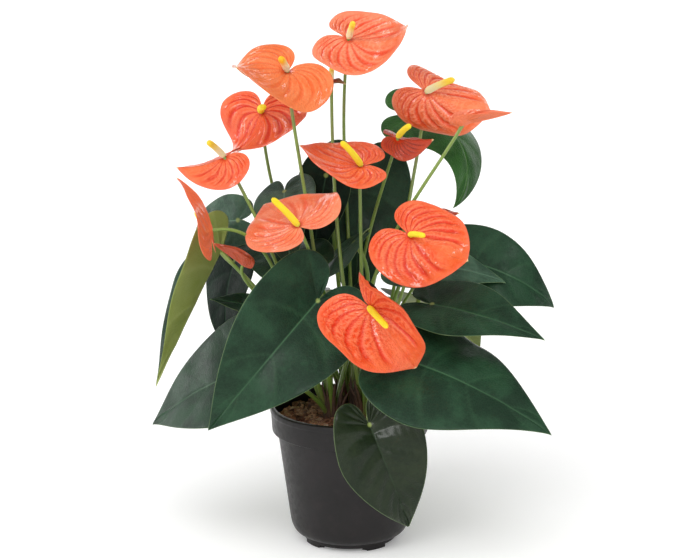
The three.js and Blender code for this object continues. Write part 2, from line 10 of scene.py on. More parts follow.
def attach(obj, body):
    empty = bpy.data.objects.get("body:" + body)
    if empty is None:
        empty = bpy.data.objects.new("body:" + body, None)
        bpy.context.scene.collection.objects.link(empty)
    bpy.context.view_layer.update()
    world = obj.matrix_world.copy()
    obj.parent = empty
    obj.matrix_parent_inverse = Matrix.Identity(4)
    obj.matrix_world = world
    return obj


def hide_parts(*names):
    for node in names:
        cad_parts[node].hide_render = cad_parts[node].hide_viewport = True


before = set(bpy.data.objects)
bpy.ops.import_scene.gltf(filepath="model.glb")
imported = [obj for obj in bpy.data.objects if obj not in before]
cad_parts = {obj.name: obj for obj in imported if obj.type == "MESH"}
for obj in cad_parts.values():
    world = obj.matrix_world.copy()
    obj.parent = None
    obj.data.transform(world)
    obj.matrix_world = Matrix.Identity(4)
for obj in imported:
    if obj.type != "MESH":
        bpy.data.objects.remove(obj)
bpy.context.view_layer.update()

MM = 0.001
BODY = "root"

# ---------- the plant's own values, as its solids have them ----------
CLEARANCE = 0.42
BLADE_THICKNESS = 0.8
CROWNS = {"left": (-15, -6), "right": (15, -8), "back": (1, 17)}
CROWN = dict(top=124, ring=4.7, rooted=8)
LEAF_STALK = dict(foot=2.3, head=1.8)
BLOOM_STALK = dict(foot=2.0, head=1.6)
# The top of the substrate, how far its surface lies below that, its radius and its plug's rings
# as (radius, height).
SOIL = dict(top=112, settled=1.5, radius=61, plug=((59.5, 98), (49, 16), (39, 8)))
POT = dict(
    height=122, rim=70, band=22, neck=63.5, waist=52, waist_height=16, foot=41, foot_width=4,
    wall=2.2, floor=6.5, recess=3.8,
)
NOTCH = dict(count=4, spread=62, height=3, first=-100, width=12)
DRAIN = dict(count=8, radius=4, circle=27, depth=20)

# Half an outline is three curves, for a blade that is 1 long. SPANS says where each one starts.
OUTLINES = {
    "leaf": (
        ((0, 0), (-0.1, 0.006), (-0.235, 0.04), (-0.235, 0.15)),
        ((-0.235, 0.15), (-0.235, 0.28), (-0.06, 0.355), (0.13, 0.355)),
        ((0.13, 0.355), (0.44, 0.355), (0.8, 0.075), (1, 0)),
    ),
    "spathe": (
        ((0, 0), (-0.1, 0.01), (-0.36, 0.03), (-0.4, 0.24)),
        ((-0.4, 0.24), (-0.44, 0.52), (-0.16, 0.66), (0.1, 0.66)),
        ((0.1, 0.66), (0.5, 0.66), (0.83, 0.16), (1, 0)),
    ),
}
HALF_WIDTH = {"leaf": 0.36, "spathe": 0.66}
SPANS = (0, 0.26, 0.52, 1)
FAN = 0.4  # up to this share of the outline, the ways out to it start at the stalk
BLADE = dict(
    heading=0, pitch=0, roll=0, arch=0, fold=(0, 0), ear=(0, 0), curl=0, width=1, lobe=1,
    wave=1.2, waves=3, rise=0.6, arrive=0.5, neck=0.25, sway=(0, 0),
)
# Each blade has the place where its stalk meets it, three turns that aim it, and how much its
# halves fold, its rear lobes (ear) lift, its margins curl and its midrib arches, in degrees.
LEAVES = {
    "front_left": dict(crown="left", at=(-27, -72, 233), length=150, heading=-142, pitch=-39, roll=-54,
        arch=53, fold=(6, 21), curl=4, width=0.96, lobe=0.86, rise=0.8, arrive=0.8, neck=0.08),
    "low_left": dict(crown="left", at=(-81, -46, 171), length=145, heading=153, pitch=-25, roll=-51,
        arch=24, fold=(8, 6), ear=(5, 0), width=1.02, rise=0.4, arrive=0.65, neck=0.08),
    "far_left": dict(crown="left", at=(-111.6, -6.5, 260.3), length=128, heading=219, pitch=-56.5, roll=17,
        arch=1, fold=(50, 17), ear=(9, -17), curl=1, width=1.01, sway=(0, -6)),
    "middle_left": dict(crown="left", at=(-39, -8, 251), length=88, heading=150, pitch=15, roll=-39,
        arch=26, fold=(7, -19), ear=(0, 30), curl=-11, rise=0.8, arrive=0.95, neck=0.12),
    "shaded_left": dict(crown="back", at=(-103, 59, 238), length=92, heading=-125, pitch=-57, roll=17,
        arch=45, fold=(6, 7), curl=-8, rise=1, arrive=0.85, neck=0.2, sway=(22, 2)),
    "small_left": dict(crown="left", at=(-64, 10, 200), length=61, heading=183, pitch=25, roll=-24, arch=25,
        fold=(7, 6), curl=-5, rise=1, arrive=0.8, sway=(-6, 0)),
    "high_left": dict(crown="back", at=(-98, 30, 281), length=66, heading=155, pitch=-8, roll=-70, arch=50,
        fold=(-10, 10), curl=-7, rise=0.4, arrive=0.95, sway=(6, 0)),
    "back_left": dict(crown="back", at=(-57, 22, 308), length=87, heading=-91, pitch=-29, roll=23, arch=36,
        fold=(5, 2), ear=(-11, -4), curl=-6, width=0.95, lobe=0.95, arrive=0.8, sway=(0, 12)),
    "centre": dict(crown="back", at=(9, 66, 316), length=124, heading=-95, pitch=-70, roll=-8, arch=18,
        fold=(5, 14), curl=-6, width=1.05, rise=0.8, arrive=0.85, neck=0.24, sway=(-2, 2)),
    "centre_narrow": dict(crown="back", at=(-21, 39, 319), length=84, heading=-116, pitch=-66, roll=-20,
        arch=30, fold=(8, 8), curl=-8, width=0.8, arrive=0.95, neck=0.08),
    "grey": dict(crown="left", at=(3, 8, 266), length=79, heading=175, pitch=-41, roll=-13, arch=10,
        ear=(9, -12), curl=-11, rise=0.8, arrive=0.95, neck=0.35, sway=(0, -6)),
    "behind_bloom": dict(crown="right", at=(4, -33, 230), length=55, heading=-70, pitch=-22, roll=10,
        arch=41, fold=(9, 7), rise=0.8, neck=0.18),
    "high_right": dict(crown="back", at=(56, 99, 364), length=117, heading=-6, pitch=-1, roll=-21, arch=129,
        fold=(29, -35), ear=(23, -5), curl=-16, width=1.22, lobe=0.96, rise=1, arrive=0.6, neck=0.12,
        sway=(6, 12)),
    "far_right": dict(crown="right", at=(96, 20, 248), length=108, heading=-8, pitch=-10, roll=47, arch=60,
        fold=(8, 4), ear=(-9, 0), curl=-8, width=1.02, arrive=0.95, neck=0.18),
    "middle_right": dict(crown="right", at=(48, 1, 248), length=92, heading=-1, pitch=1, roll=32, arch=31,
        fold=(6, 6), curl=-6, rise=0.4, arrive=0.95, sway=(-6, 6)),
    "near_right": dict(crown="right", at=(69, -55, 226), length=104, heading=-30, pitch=-2, roll=26,
        arch=20, fold=(9, 9), ear=(-10, 5), curl=-11, lobe=1.04, rise=0.4, arrive=0.8),
    "low_right": dict(crown="right", at=(49, -90, 186), length=135, heading=-29, pitch=-9, roll=30, arch=31,
        fold=(4, 2), ear=(26, 12), curl=-37, width=1.17, arrive=0.8),
    "front": dict(crown="right", at=(16, -100, 134), length=110, heading=-27, pitch=-64, roll=55, arch=49,
        fold=(13, 21), ear=(0, 15), curl=-2, width=1.04, lobe=0.94),
    "rear_right": dict(crown="back", at=(62, 65, 204), length=112, heading=48, pitch=-22, roll=-12, arch=45,
        fold=(8, 6), arrive=0.95),
    "rear": dict(crown="back", at=(8, 84, 193), length=112, heading=98, pitch=-28, roll=8, arch=45,
        fold=(7, 8), rise=0.8, arrive=0.8),
    "rear_left": dict(crown="back", at=(-52, 63, 201), length=112, heading=128, pitch=-20, roll=2, arch=45,
        fold=(6, 9), sway=(-6, 6)),
    "rear_high": dict(crown="back", at=(26, 87, 254), length=88, heading=70, pitch=-14, roll=-6, arch=45,
        fold=(9, 7), rise=0.2, sway=(-6, 6)),
}
# A spadix is (length, radius, rise above the blade, swing to its side).
BLOOMS = {
    "top": dict(crown="back", at=(-1, -3, 444), length=64, heading=-16, pitch=-19, roll=27, arch=-75,
        fold=(-16, -37), ear=(-6, 3), curl=49, width=0.96, lobe=0.92, rise=0.7, arrive=0.95, neck=0.38,
        sway=(6, 28), spadix=(26, 2.9, 65, -68)),
    "upper_left": dict(crown="left", at=(-52, -34, 420), length=68, heading=-130, pitch=-23, roll=-2,
        arch=-64, fold=(-12, 32), ear=(5, 8), curl=-49, width=1, lobe=0.84, rise=1.2, arrive=0.05,
        neck=0.18, sway=(-4, 0), spadix=(27, 3.2, 45, 38)),
    "left": dict(crown="back", at=(-76, 30, 377), length=59, heading=-93, pitch=-53, roll=37, arch=-57,
        fold=(-17, -9), ear=(-29, 39), width=1.01, lobe=0.9, rise=0.5, arrive=0.2, neck=0.22,
        sway=(-28, 34), spadix=(27, 3.3, 38, 62)),
    "far_left": dict(crown="left", at=(-106, -27, 347), length=42, heading=190, pitch=-29, roll=1, arch=-36,
        fold=(-60, -4), ear=(7, -5), curl=-6, width=0.98, lobe=1, rise=0, arrive=0.5, neck=0.4,
        sway=(8, -16), spadix=(28, 3, 44, 74)),
    "middle": dict(crown="right", at=(9, -25, 339), length=57, heading=181, pitch=-2, roll=-23, arch=-49,
        fold=(8, 1), ear=(-5, -1), curl=-3, lobe=0.92, arrive=0.6, neck=0.04, sway=(-2, 0),
        spadix=(29, 3, 57, 8)),
    "centre_left": dict(crown="left", at=(-43, -72, 297), length=64, heading=120, pitch=10, roll=-27,
        arch=7, fold=(2, -1), ear=(1, 10), curl=3, width=1.03, lobe=1.05, rise=0.7, arrive=0.7, neck=0.22,
        sway=(6, 2), spadix=(30, 3.1, 46, 14)),
    "upper_right": dict(crown="right", at=(66, 16, 396), length=62, heading=-13, pitch=-25, roll=49,
        arch=-35, fold=(-9, -42), ear=(-1, 5), curl=-53, lobe=1.02, rise=0.2, arrive=0.95, neck=0.1,
        sway=(6, 40), spadix=(30, 3.4, 49, 27)),
    "young_right": dict(crown="right", at=(93, -42, 376.5), length=43, heading=1, pitch=9, roll=20,
        arch=-10, fold=(60, 60), curl=20, width=0.4, lobe=0.6, rise=0.9, arrive=0.85, neck=0.26,
        sway=(-40, 2)),
    "dark": dict(crown="back", at=(41, 5, 358), length=31, heading=-1, pitch=-14, roll=7, arch=-23,
        fold=(-8, -47), ear=(6, 13), curl=-7, width=1.03, lobe=1.05, rise=1.2, neck=0.36, sway=(-6, 38),
        spadix=(26, 2.9, 40, -72)),
    "right": dict(crown="right", at=(50, -63, 287), length=69, heading=-34, pitch=-22, roll=47, arch=-36,
        fold=(-9, -19), ear=(-4, 15), curl=-9, width=0.89, lobe=0.97, arrive=0.8, neck=0.35,
        spadix=(25, 2.6, 42, 0)),
    "hidden_right": dict(crown="back", at=(69, 36, 280.5), length=28, heading=-7, pitch=18, roll=15,
        arch=10, width=0.9, rise=1, arrive=0.75, neck=0.3, sway=(8, 2),
        spadix=(14, 2.2, 36, -24)),
    "low": dict(crown="right", at=(16, -110, 236), length=66, heading=-26, pitch=-48, roll=63, arch=41,
        fold=(28, 1), ear=(16, -18), curl=73, width=1.17, lobe=0.99, rise=0.4, arrive=0.35, neck=0.12,
        spadix=(29, 3, 38, 6)),
    "edge_left": dict(crown="left", at=(-114.5, -75, 293.5), length=54, heading=-8, pitch=96, roll=3,
        arch=-54, fold=(14, 3), ear=(-10, 0), curl=6, rise=0.3, arrive=1, neck=0.34, sway=(-12, 24),
        spadix=(20, 2.8, 32, 20)),
    "young_left": dict(crown="back", at=(-90, -42, 257), length=32, heading=178, pitch=32, roll=-10,
        arch=-10, fold=(60, 60), curl=20, width=0.5, lobe=0.6, rise=0.8, arrive=0.65, neck=0.14,
        sway=(-6, -2)),
    "old": dict(crown="right", at=(-16, 18, 404), length=13, heading=-12, pitch=4, roll=10, arch=20,
        fold=(30, 30), width=0.6, arrive=0.85, neck=0.44, sway=(-12, -44),
        spadix=(13, 2.4, 80, 5)),
}


# ---------- numbers over a surface ----------
def ease(t):
    """A smooth step from 0 to 1 while t goes from 0 to 1."""
    t = np.clip(t, 0, 1)
    return t * t * (3 - 2 * t)


def unit(v):
    return v / np.linalg.norm(v)


def bow(a, b, c, t):
    """The point at share t of a curve from a to c that b pulls."""
    return (1 - t) ** 2 * a + 2 * (1 - t) * t * b + t * t * c


def long_bow(a, b, c, d, t):
    """The point at share t of a curve from a to d that b and c pull."""
    return (1 - t) ** 3 * a + 3 * (1 - t) ** 2 * t * b + 3 * (1 - t) * t * t * c + t**3 * d


def scatter(ix, iy, seed):
    """A fixed random number from 0 to 1 for each cell of a grid."""
    h = np.sin(ix * 127.1 + iy * 311.7 + seed * 74.7) * 43758.5453
    return h - np.floor(h)


def cells(x, y, seed):
    """How far a point lies from the nearest wall of a net of uneven cells."""
    first = np.full(x.shape, 9.0)
    second = np.full(x.shape, 9.0)
    for dx in (-1, 0, 1):
        for dy in (-1, 0, 1):
            cx, cy = np.floor(x) + dx, np.floor(y) + dy
            px = cx + 0.5 + 0.75 * (scatter(cx, cy, seed) - 0.5)
            py = cy + 0.5 + 0.75 * (scatter(cx, cy, seed + 5) - 0.5)
            d = np.hypot(x - px, y - py)
            second = np.minimum(second, np.maximum(first, d))
            first = np.minimum(first, d)
    return second - first


def swell(x, y, seed):
    """Smooth uneven height from -1 to 1."""
    cx, cy = np.floor(x), np.floor(y)
    fx, fy = ease(x - cx), ease(y - cy)
    a, b = scatter(cx, cy, seed), scatter(cx + 1, cy, seed)
    c, d = scatter(cx, cy + 1, seed), scatter(cx + 1, cy + 1, seed)
    return 2 * ((a * (1 - fx) + b * fx) * (1 - fy) + (c * (1 - fx) + d * fx) * fy) - 1


# ---------- heart-shaped blades ----------
def outline(kind, s):
    """One half of the outline at share s, as x along the midrib and y out from it."""
    curves = np.array(OUTLINES[kind], float)
    part = np.where(s <= SPANS[1], 0, np.where(s <= SPANS[2], 1, 2))
    low, high = np.array(SPANS)[part], np.array(SPANS)[part + 1]
    return long_bow(*(curves[part, k] for k in range(4)), ((s - low) / (high - low))[..., None])


def midrib_start(s):
    """Where on the midrib, as a share of it, the way out to the outline at share s starts."""
    return np.where(s > FAN, (np.clip(s - FAN, 0, 1) / (1 - FAN)) ** 1.15, 0)


def blade_turn(blade):
    turn = Matrix.Rotation(math.radians(blade["heading"]), 3, "Z")
    turn = turn @ Matrix.Rotation(-math.radians(blade["pitch"]), 3, "Y")
    return np.array(turn @ Matrix.Rotation(math.radians(blade["roll"]), 3, "X"))


def blade_surface(kind, blade, side, s, v, lift):
    """Points of the blade's middle surface, raised by lift, and where they lie on the flat blade."""
    edge, spine, length = outline(kind, s), midrib_start(s), blade["length"]
    flat_x = spine + v * (edge[..., 0] - spine)
    x = np.where(flat_x < 0, flat_x * blade["lobe"], flat_x) * length
    y = v * edge[..., 1] * blade["width"] * length
    hand = 0 if side > 0 else 1
    fold = np.radians(blade["fold"][hand] + blade["ear"][hand] * ease((0.3 - x / length) / 0.5))
    across = math.radians(blade["curl"] or 0.01) / (HALF_WIDTH[kind] * blade["width"] * length)
    slope = fold + across * y
    out = (np.sin(slope) - np.sin(fold)) / across - lift * np.sin(slope)
    up = (np.cos(fold) - np.cos(slope)) / across + lift * np.cos(slope)
    bend = np.where(x >= 0, math.radians(blade["arch"] or 0.01) / length, 1e-6)
    along = np.sin(bend * x) / bend + up * np.sin(bend * x)
    sunk = (np.cos(bend * x) - 1) / bend + up * np.cos(bend * x)
    points = np.stack([along, side * out, sunk], -1)
    return points @ blade_turn(blade).T + np.array(blade["at"], float), x, y


def leaf_relief(blade, s, v, x, y):
    """Shallow cushions between side veins that leave the midrib and slant towards the tip."""
    veins, depth = blade["relief"]
    phase = veins * (s - 0.1 * v * ease((s - 0.4) / 0.2))
    near = 1 - np.abs(((phase + 0.5) % 1) - 0.5) * 2  # 1 on a vein
    reach = np.hypot(x, y)
    quilt = np.cos(2 * np.pi * (phase + 0.5)) * np.sin(np.pi * v**0.7)
    groove = np.clip(1 - (1 - near) * 9 / (0.7 + v), 0, 1)
    net = np.clip(cells(x / 6.5, y / 6.5, blade["seed"]) / 0.35, 0, 1)
    bumps = swell(x / 17, y / 17, blade["seed"] + 3)
    body = ease(reach / 12) * (1 - ease((v - 0.9) / 0.1))
    mid = np.clip(1 - y / 1.6, 0, 1)
    lift = depth * ((3 * quilt - 1.8 * groove) / veins + 0.06 * net + 0.3 * bumps) * body
    return lift - 0.45 * mid * ease(reach / 5), np.maximum(groove * (1 - 0.55 * v), mid), net


def reach_share(blade, x, y):
    """How far out from a spathe's stalk a point lies on its way to the margin, and its direction."""
    edge = outline("spathe", np.linspace(0.02, 1, 400))
    back = np.where(edge[:, 0] < 0, blade["lobe"], 1.0)
    ex, ey = edge[:, 0] * back * blade["length"], edge[:, 1] * blade["width"] * blade["length"]
    ways, spans = np.arctan2(ey, ex)[::-1], np.hypot(ex, ey)[::-1]
    way = np.arctan2(y, x)
    span = np.interp(way, np.maximum.accumulate(ways), spans)
    return np.clip(np.hypot(x, y) / span, 0, 1), way


def spathe_relief(blade, s, v, x, y):
    """Cushions between veins that leave the stalk as rays and bend forwards on their way out."""
    reach = np.hypot(x, y)
    seed = blade["seed"]
    veins, depth, fine = blade["relief"]
    share, way = reach_share(blade, x, y)
    start = way / (1 - 0.42 * share**2.2)  # the direction in which this vein left the stalk
    phase = veins * start / np.pi + 0.14 * swell(way * 3.5 + 9, share * 3, seed + 1) + 0.5
    near = np.abs((phase % 1) * 2 - 1)  # 0 in a groove, 1 on the cushion's crown
    groove = np.exp(-((near / (0.3 + 0.1 * share)) ** 2))
    valley = np.exp(-((near / (0.42 + 0.08 * share)) ** 3))
    between = np.abs(((2 * phase + 0.5) % 1) * 2 - 1)
    side_groove = np.exp(-((between / 0.24) ** 2)) * (1 - groove) * ease((share - 0.2) / 0.3)
    wander = 1.1 * swell(phase * 2.3, reach / 5, seed + 4)
    pucker = cells(phase * 3.4 + wander, reach / 5.2 + 0.9 * phase + wander, seed) / 0.42
    wall = ease(pucker)  # 0 on the ridge between two puckers
    fine = fine * (1 - 0.75 * ease((x / blade["length"] - 0.3) / 0.3))
    body = ease((reach - 1) / 6) * (1 - 0.9 * ease((share - 0.7) / 0.26)) * ease((start - 0.12) / 0.2)
    mid = np.clip(1 - y / 1.2, 0, 1) * ease((x - 2) / 8)
    lift = 0.6 * (1 - groove) * near - 0.7 * groove - 0.25 * side_groove
    puckered = fine * ease((reach - 3) / 6) * (1 - ease((v - 0.85) / 0.15)) * (1 - 0.6 * groove)
    room = np.clip(np.pi * reach / veins / 10, 0, 1)
    lift = depth * lift * body * room + 0.4 * puckered * (1 - wall)
    lift += 0.4 * swell(x / 15, y / 15, seed + 2) - 0.6 * mid - 1.3 * (1 - ease(reach / 9))
    # Painted shade: dark deepens the colour in the grooves and in the hollows of the puckers.
    dark = depth * (valley + 0.4 * side_groove) * body + 0.25 * puckered * wall
    # Painted highlight: glint lightens thin lines beside the grooves and along the raised lines between
    # puckers.
    glint = depth * body * np.exp(-(((near - 0.52) / 0.1) ** 2)) * (1 - 0.6 * ease((share - 0.5) / 0.4))
    glint += 0.6 * puckered * (1 - wall)
    return lift, np.clip(dark, 0, 1), np.clip(glint, 0, 1)


KINDS = {
    "leaf": dict(columns=110, rows=26, thickness=0.55, relief=leaf_relief),
    "spathe": dict(columns=150, rows=40, thickness=0.6, relief=spathe_relief),
}


def blade_grid(kind, blade, side):
    """Positions and surface measures of one half, on a grid round the outline and out to it."""
    shape = KINDS[kind]
    s, v = np.meshgrid(
        np.linspace(0, 1, shape["columns"] + 1), np.linspace(0, 1, shape["rows"] + 1), indexing="ij"
    )
    _, x, y = blade_surface(kind, blade, side, s, v, np.zeros_like(s))
    # For a leaf the second measure marks its veins and the third its cell net; for a spathe they are its
    # painted groove shade and its painted highlight.
    lift, vein, ridge = shape["relief"](blade, s, v, x, y)
    wave = blade["wave"] * v * v * np.sin(2 * np.pi * blade["waves"] * s + side) * np.sin(np.pi * s)
    points, _, _ = blade_surface(kind, blade, side, s, v, lift + wave)
    edge = outline(kind, s)
    way_out = np.hypot(edge[..., 0] - midrib_start(s), edge[..., 1] * blade["width"])
    return points, dict(
        vein=vein, ridge=ridge, margin=(1 - v) * way_out * blade["length"], midrib=y,
        root=np.hypot(x, y), tip=blade["length"] - x, flat_x=x, flat_y=side * y,
    )


def corner_normals(points, faces):
    """The normal at each point, from the diagonals of the faces round it."""
    corners = np.array([face if len(face) == 4 else face + face[-1:] for face in faces])
    a, b, c, d = (points[corners[:, k]] for k in range(4))
    face_normals = np.cross(c - a, d - b)
    normals = np.zeros_like(points)
    for k in range(4):
        np.add.at(normals, corners[:, k], face_normals)
    return normals / np.maximum(np.linalg.norm(normals, axis=1), 1e-12)[:, None]


def add_measure(mesh, name, values, kind="FLOAT"):
    """Stores values, or points for the kind FLOAT_VECTOR, on the mesh for its material to read."""
    layer = mesh.attributes.new(name, kind, "POINT")
    layer.data.foreach_set(
        "vector" if kind == "FLOAT_VECTOR" else "value", np.asarray(values, np.float32).ravel()
    )


def blade_mesh(name, kind, blade):
    """The blade as one closed mesh with its surface measures kept as attributes, in metres."""
    shape = KINDS[kind]
    columns, rows = shape["columns"], shape["rows"]
    fan_end = int(FAN * columns)
    points, numbers, index = [], [], {}
    for side in (1, -1):
        grid, measures = blade_grid(kind, blade, side)
        keys = sorted(measures)
        values = np.stack([measures[k] for k in keys], -1)
        if side > 0:  # the stalk's point and the tip belong to both halves
            points += [grid[0, 0], grid[-1, 0]]
            numbers += [values[0, 0], values[-1, 0]]
        ids = np.zeros((columns + 1, rows + 1), int)
        ids[columns, :] = 1
        for i in range(1, columns):
            if side < 0 and i > fan_end:  # the halves share the midrib
                ids[i, 0] = index[1][i, 0]
            first = 1 if side < 0 or i <= fan_end else 0
            ids[i, first:] = np.arange(len(points), len(points) + rows + 1 - first)
            points.extend(grid[i, first:])
            numbers.extend(values[i, first:])
        index[side] = ids
    points, numbers = np.array(points), np.array(numbers)
    faces = []
    for side in (1, -1):
        ids = index[side].tolist()
        for i in range(columns):
            for j in range(rows):
                corner = [ids[i][j], ids[i + 1][j], ids[i + 1][j + 1], ids[i][j + 1]]
                face = [c for k, c in enumerate(corner) if c != corner[k - 1]]
                if len(face) > 2:
                    faces.append(face if side > 0 else face[::-1])
    measures = {key: np.tile(numbers[:, k], 2) for k, key in enumerate(keys)}
    count = len(points)
    thinned = 0.4 + 0.6 * ease(measures["margin"][:count] / 2.5)
    half = corner_normals(points, faces) * (shape["thickness"] / 2 * thinned)[:, None]
    vertices = np.concatenate([points + half, points - half]) * MM
    rim = list(index[1][:, rows]) + list(index[-1][1:-1, rows][::-1])
    walls = [[a, b, count + b, count + a] for a, b in zip(rim, rim[1:] + rim[:1])]
    lower = [[count + c for c in face[::-1]] for face in faces]
    mesh = bpy.data.meshes.new(name)
    mesh.from_pydata(vertices.tolist(), [], [[int(c) for c in f] for f in faces + lower + walls])
    flat = [measures.pop("flat_x"), measures.pop("flat_y"), np.full(2 * count, blade["seed"] * 40.0)]
    for key, values in measures.items():
        add_measure(mesh, key, values)
    add_measure(mesh, "under", np.repeat([0, 1], count))
    add_measure(mesh, "flat", np.stack(flat, -1), "FLOAT_VECTOR")
    mesh.shade_smooth()
    return mesh


# ---------- building with nodes ----------
class Nodes:
    """Adds nodes to one tree; an input takes a value or another node's output."""

    def __init__(self, tree):
        self.tree = tree

    def add(self, kind, inputs=None, **settings):
        node = self.tree.nodes.new(kind)
        for key, value in settings.items():
            setattr(node, key, value)
        for key, value in (inputs or {}).items():
            self.put(node.inputs[key], value)
        return node

    def put(self, socket, value):
        if isinstance(value, bpy.types.NodeSocket):
            self.tree.links.new(value, socket)
        else:
            socket.default_value = value

    def made(self, kind, inputs=None, **settings):
        """The first output of a new node."""
        return self.add(kind, inputs, **settings).outputs[0]

    def math(self, operation, *values):
        return self.made("ShaderNodeMath", dict(enumerate(values)), operation=operation)

    def times(self, a, b):
        return self.math("MULTIPLY", a, b)

    def plus(self, a, b):
        return self.math("ADD", a, b)

    def vector(self, operation, *values):
        node = self.add("ShaderNodeVectorMath", operation=operation)
        for k, value in enumerate(values):
            self.put(node.inputs["Scale" if operation == "SCALE" and k else k], value)
        return node.outputs["Value" if operation in ("LENGTH", "DOT_PRODUCT") else "Vector"]

    def xyz(self, **parts):
        return self.made("ShaderNodeCombineXYZ", parts)

    def span(self, value, low, high, start=0.0, end=1.0):
        """Start below low, end above high, and a smooth way between them."""
        ends = {"Value": value, "From Min": low, "From Max": high, "To Min": start, "To Max": end}
        return self.made("ShaderNodeMapRange", ends, interpolation_type="SMOOTHSTEP")

    def mix(self, share, a, b):
        """Colour a, with this share of it replaced by colour b; a colour may be hex digits."""
        node = self.add("ShaderNodeMix", data_type="RGBA")
        for k, value in zip((0, 6, 7), (share, a, b)):
            self.put(node.inputs[k], rgb(value) if isinstance(value, str) else value)
        return node.outputs[2]

    def measure(self, name, output="Fac"):
        return self.add("ShaderNodeAttribute", attribute_name=name).outputs[output]

    def place(self):
        """Where a point lies on the piece, in millimetres."""
        here = self.add("ShaderNodeTexCoord").outputs["Object"]
        return self.vector("SCALE", here, 1 / MM)

    def noise(self, vector, scale, detail=2.0, output="Fac"):
        inputs = {"Vector": vector, "Scale": scale, "Detail": detail}
        return self.add("ShaderNodeTexNoise", inputs).outputs[output]

    def net(self, vector, scale):
        """How far a point lies from the walls of a net of cells."""
        inputs = {"Vector": vector, "Scale": scale}
        return self.add("ShaderNodeTexVoronoi", inputs, feature="DISTANCE_TO_EDGE").outputs["Distance"]

    def effect(self, name, **inputs):
        """What a shared effect gives; a colour may be hex digits."""
        made = {key: rgb(v) if isinstance(v, str) else v for key, v in inputs.items()}
        return self.add("ShaderNodeGroup", made, node_tree=EFFECTS[name]).outputs

    def keep(self, geometry, name, value, domain="POINT"):
        """Keeps a value on the geometry for the material to read."""
        inputs = {"Geometry": geometry, "Name": name, "Value": value}
        kind = "GeometryNodeStoreNamedAttribute"
        return self.made(kind, inputs, data_type="FLOAT", domain=domain)

    def kept(self, name):
        return self.made("GeometryNodeInputNamedAttribute", {"Name": name}, data_type="FLOAT")

    def chance(self, low, high, seed):
        inputs = {2: low, 3: high, "Seed": seed}
        return self.add("FunctionNodeRandomValue", inputs, data_type="FLOAT").outputs[1]

    def vector_chance(self, low, high, seed):
        inputs = {0: low, 1: high, "Seed": seed}
        return self.made("FunctionNodeRandomValue", inputs, data_type="FLOAT_VECTOR")

    def joined(self, *parts):
        join = self.add("GeometryNodeJoinGeometry")
        for part in parts:
            self.put(join.inputs[0], part)
        return join.outputs[0]


SOCKETS = {
    "colour": "NodeSocketColor", "value": "NodeSocketFloat", "vector": "NodeSocketVector",
    "count": "NodeSocketInt", "paint": "NodeSocketMaterial", "shape": "NodeSocketGeometry",
}


def new_tree(name, kind, inputs, outputs):
    """An empty tree with these named inputs and outputs; returns it, its nodes and what comes in."""
    tree = bpy.data.node_groups.new(name, kind)
    for way, sockets in (("INPUT", inputs), ("OUTPUT", outputs)):
        for label, socket in sockets.items():
            tree.interface.new_socket(label, in_out=way, socket_type=SOCKETS[socket])
    nodes = Nodes(tree)
    return tree, nodes, nodes.add("NodeGroupInput").outputs


def rgb(code):
    """A colour written as hex digits, in the renderer's linear values."""
    parts = [int(code[k:k + 2], 16) / 255 for k in (1, 3, 5)]
    return [c / 12.92 if c <= 0.04045 else ((c + 0.055) / 1.055) ** 2.4 for c in parts] + [1.0]


def material(name, **constants):
    """A new material with its shader's fixed values set; returns it, its nodes and its shader."""
    made = bpy.data.materials.new(name)
    made.use_nodes = True
    shader = made.node_tree.nodes["Principled BSDF"]
    for key, value in constants.items():
        shader.inputs[key.replace("_", " ")].default_value = value
    return made, Nodes(made.node_tree), shader


def dress(nodes, shader, colour, roughness, height, depth, strength=1.0):
    """Puts a colour, a roughness if there is one, and a bump of this depth on a shader."""
    nodes.put(shader.inputs["Base Color"], colour)
    if roughness is not None:
        nodes.put(shader.inputs["Roughness"], roughness)
    inputs = {"Height": height, "Distance": depth, "Strength": strength}
    nodes.put(shader.inputs["Normal"], nodes.add("ShaderNodeBump", inputs).outputs["Normal"])


# ---------- effects shared between materials ----------
def patches(nodes, given):
    """Two colours in soft uneven patches, with a finer grain in them."""
    broad = nodes.noise(given["Place"], nodes.math("DIVIDE", 1.0, given["Size"]), 3.0)
    fine = nodes.noise(given["Place"], nodes.math("DIVIDE", 7.0, given["Size"]), 2.0)
    both = nodes.plus(nodes.times(broad, 0.8), nodes.times(fine, 0.2))
    return [nodes.mix(nodes.span(both, 0.36, 0.64), given["One"], given["Other"])]


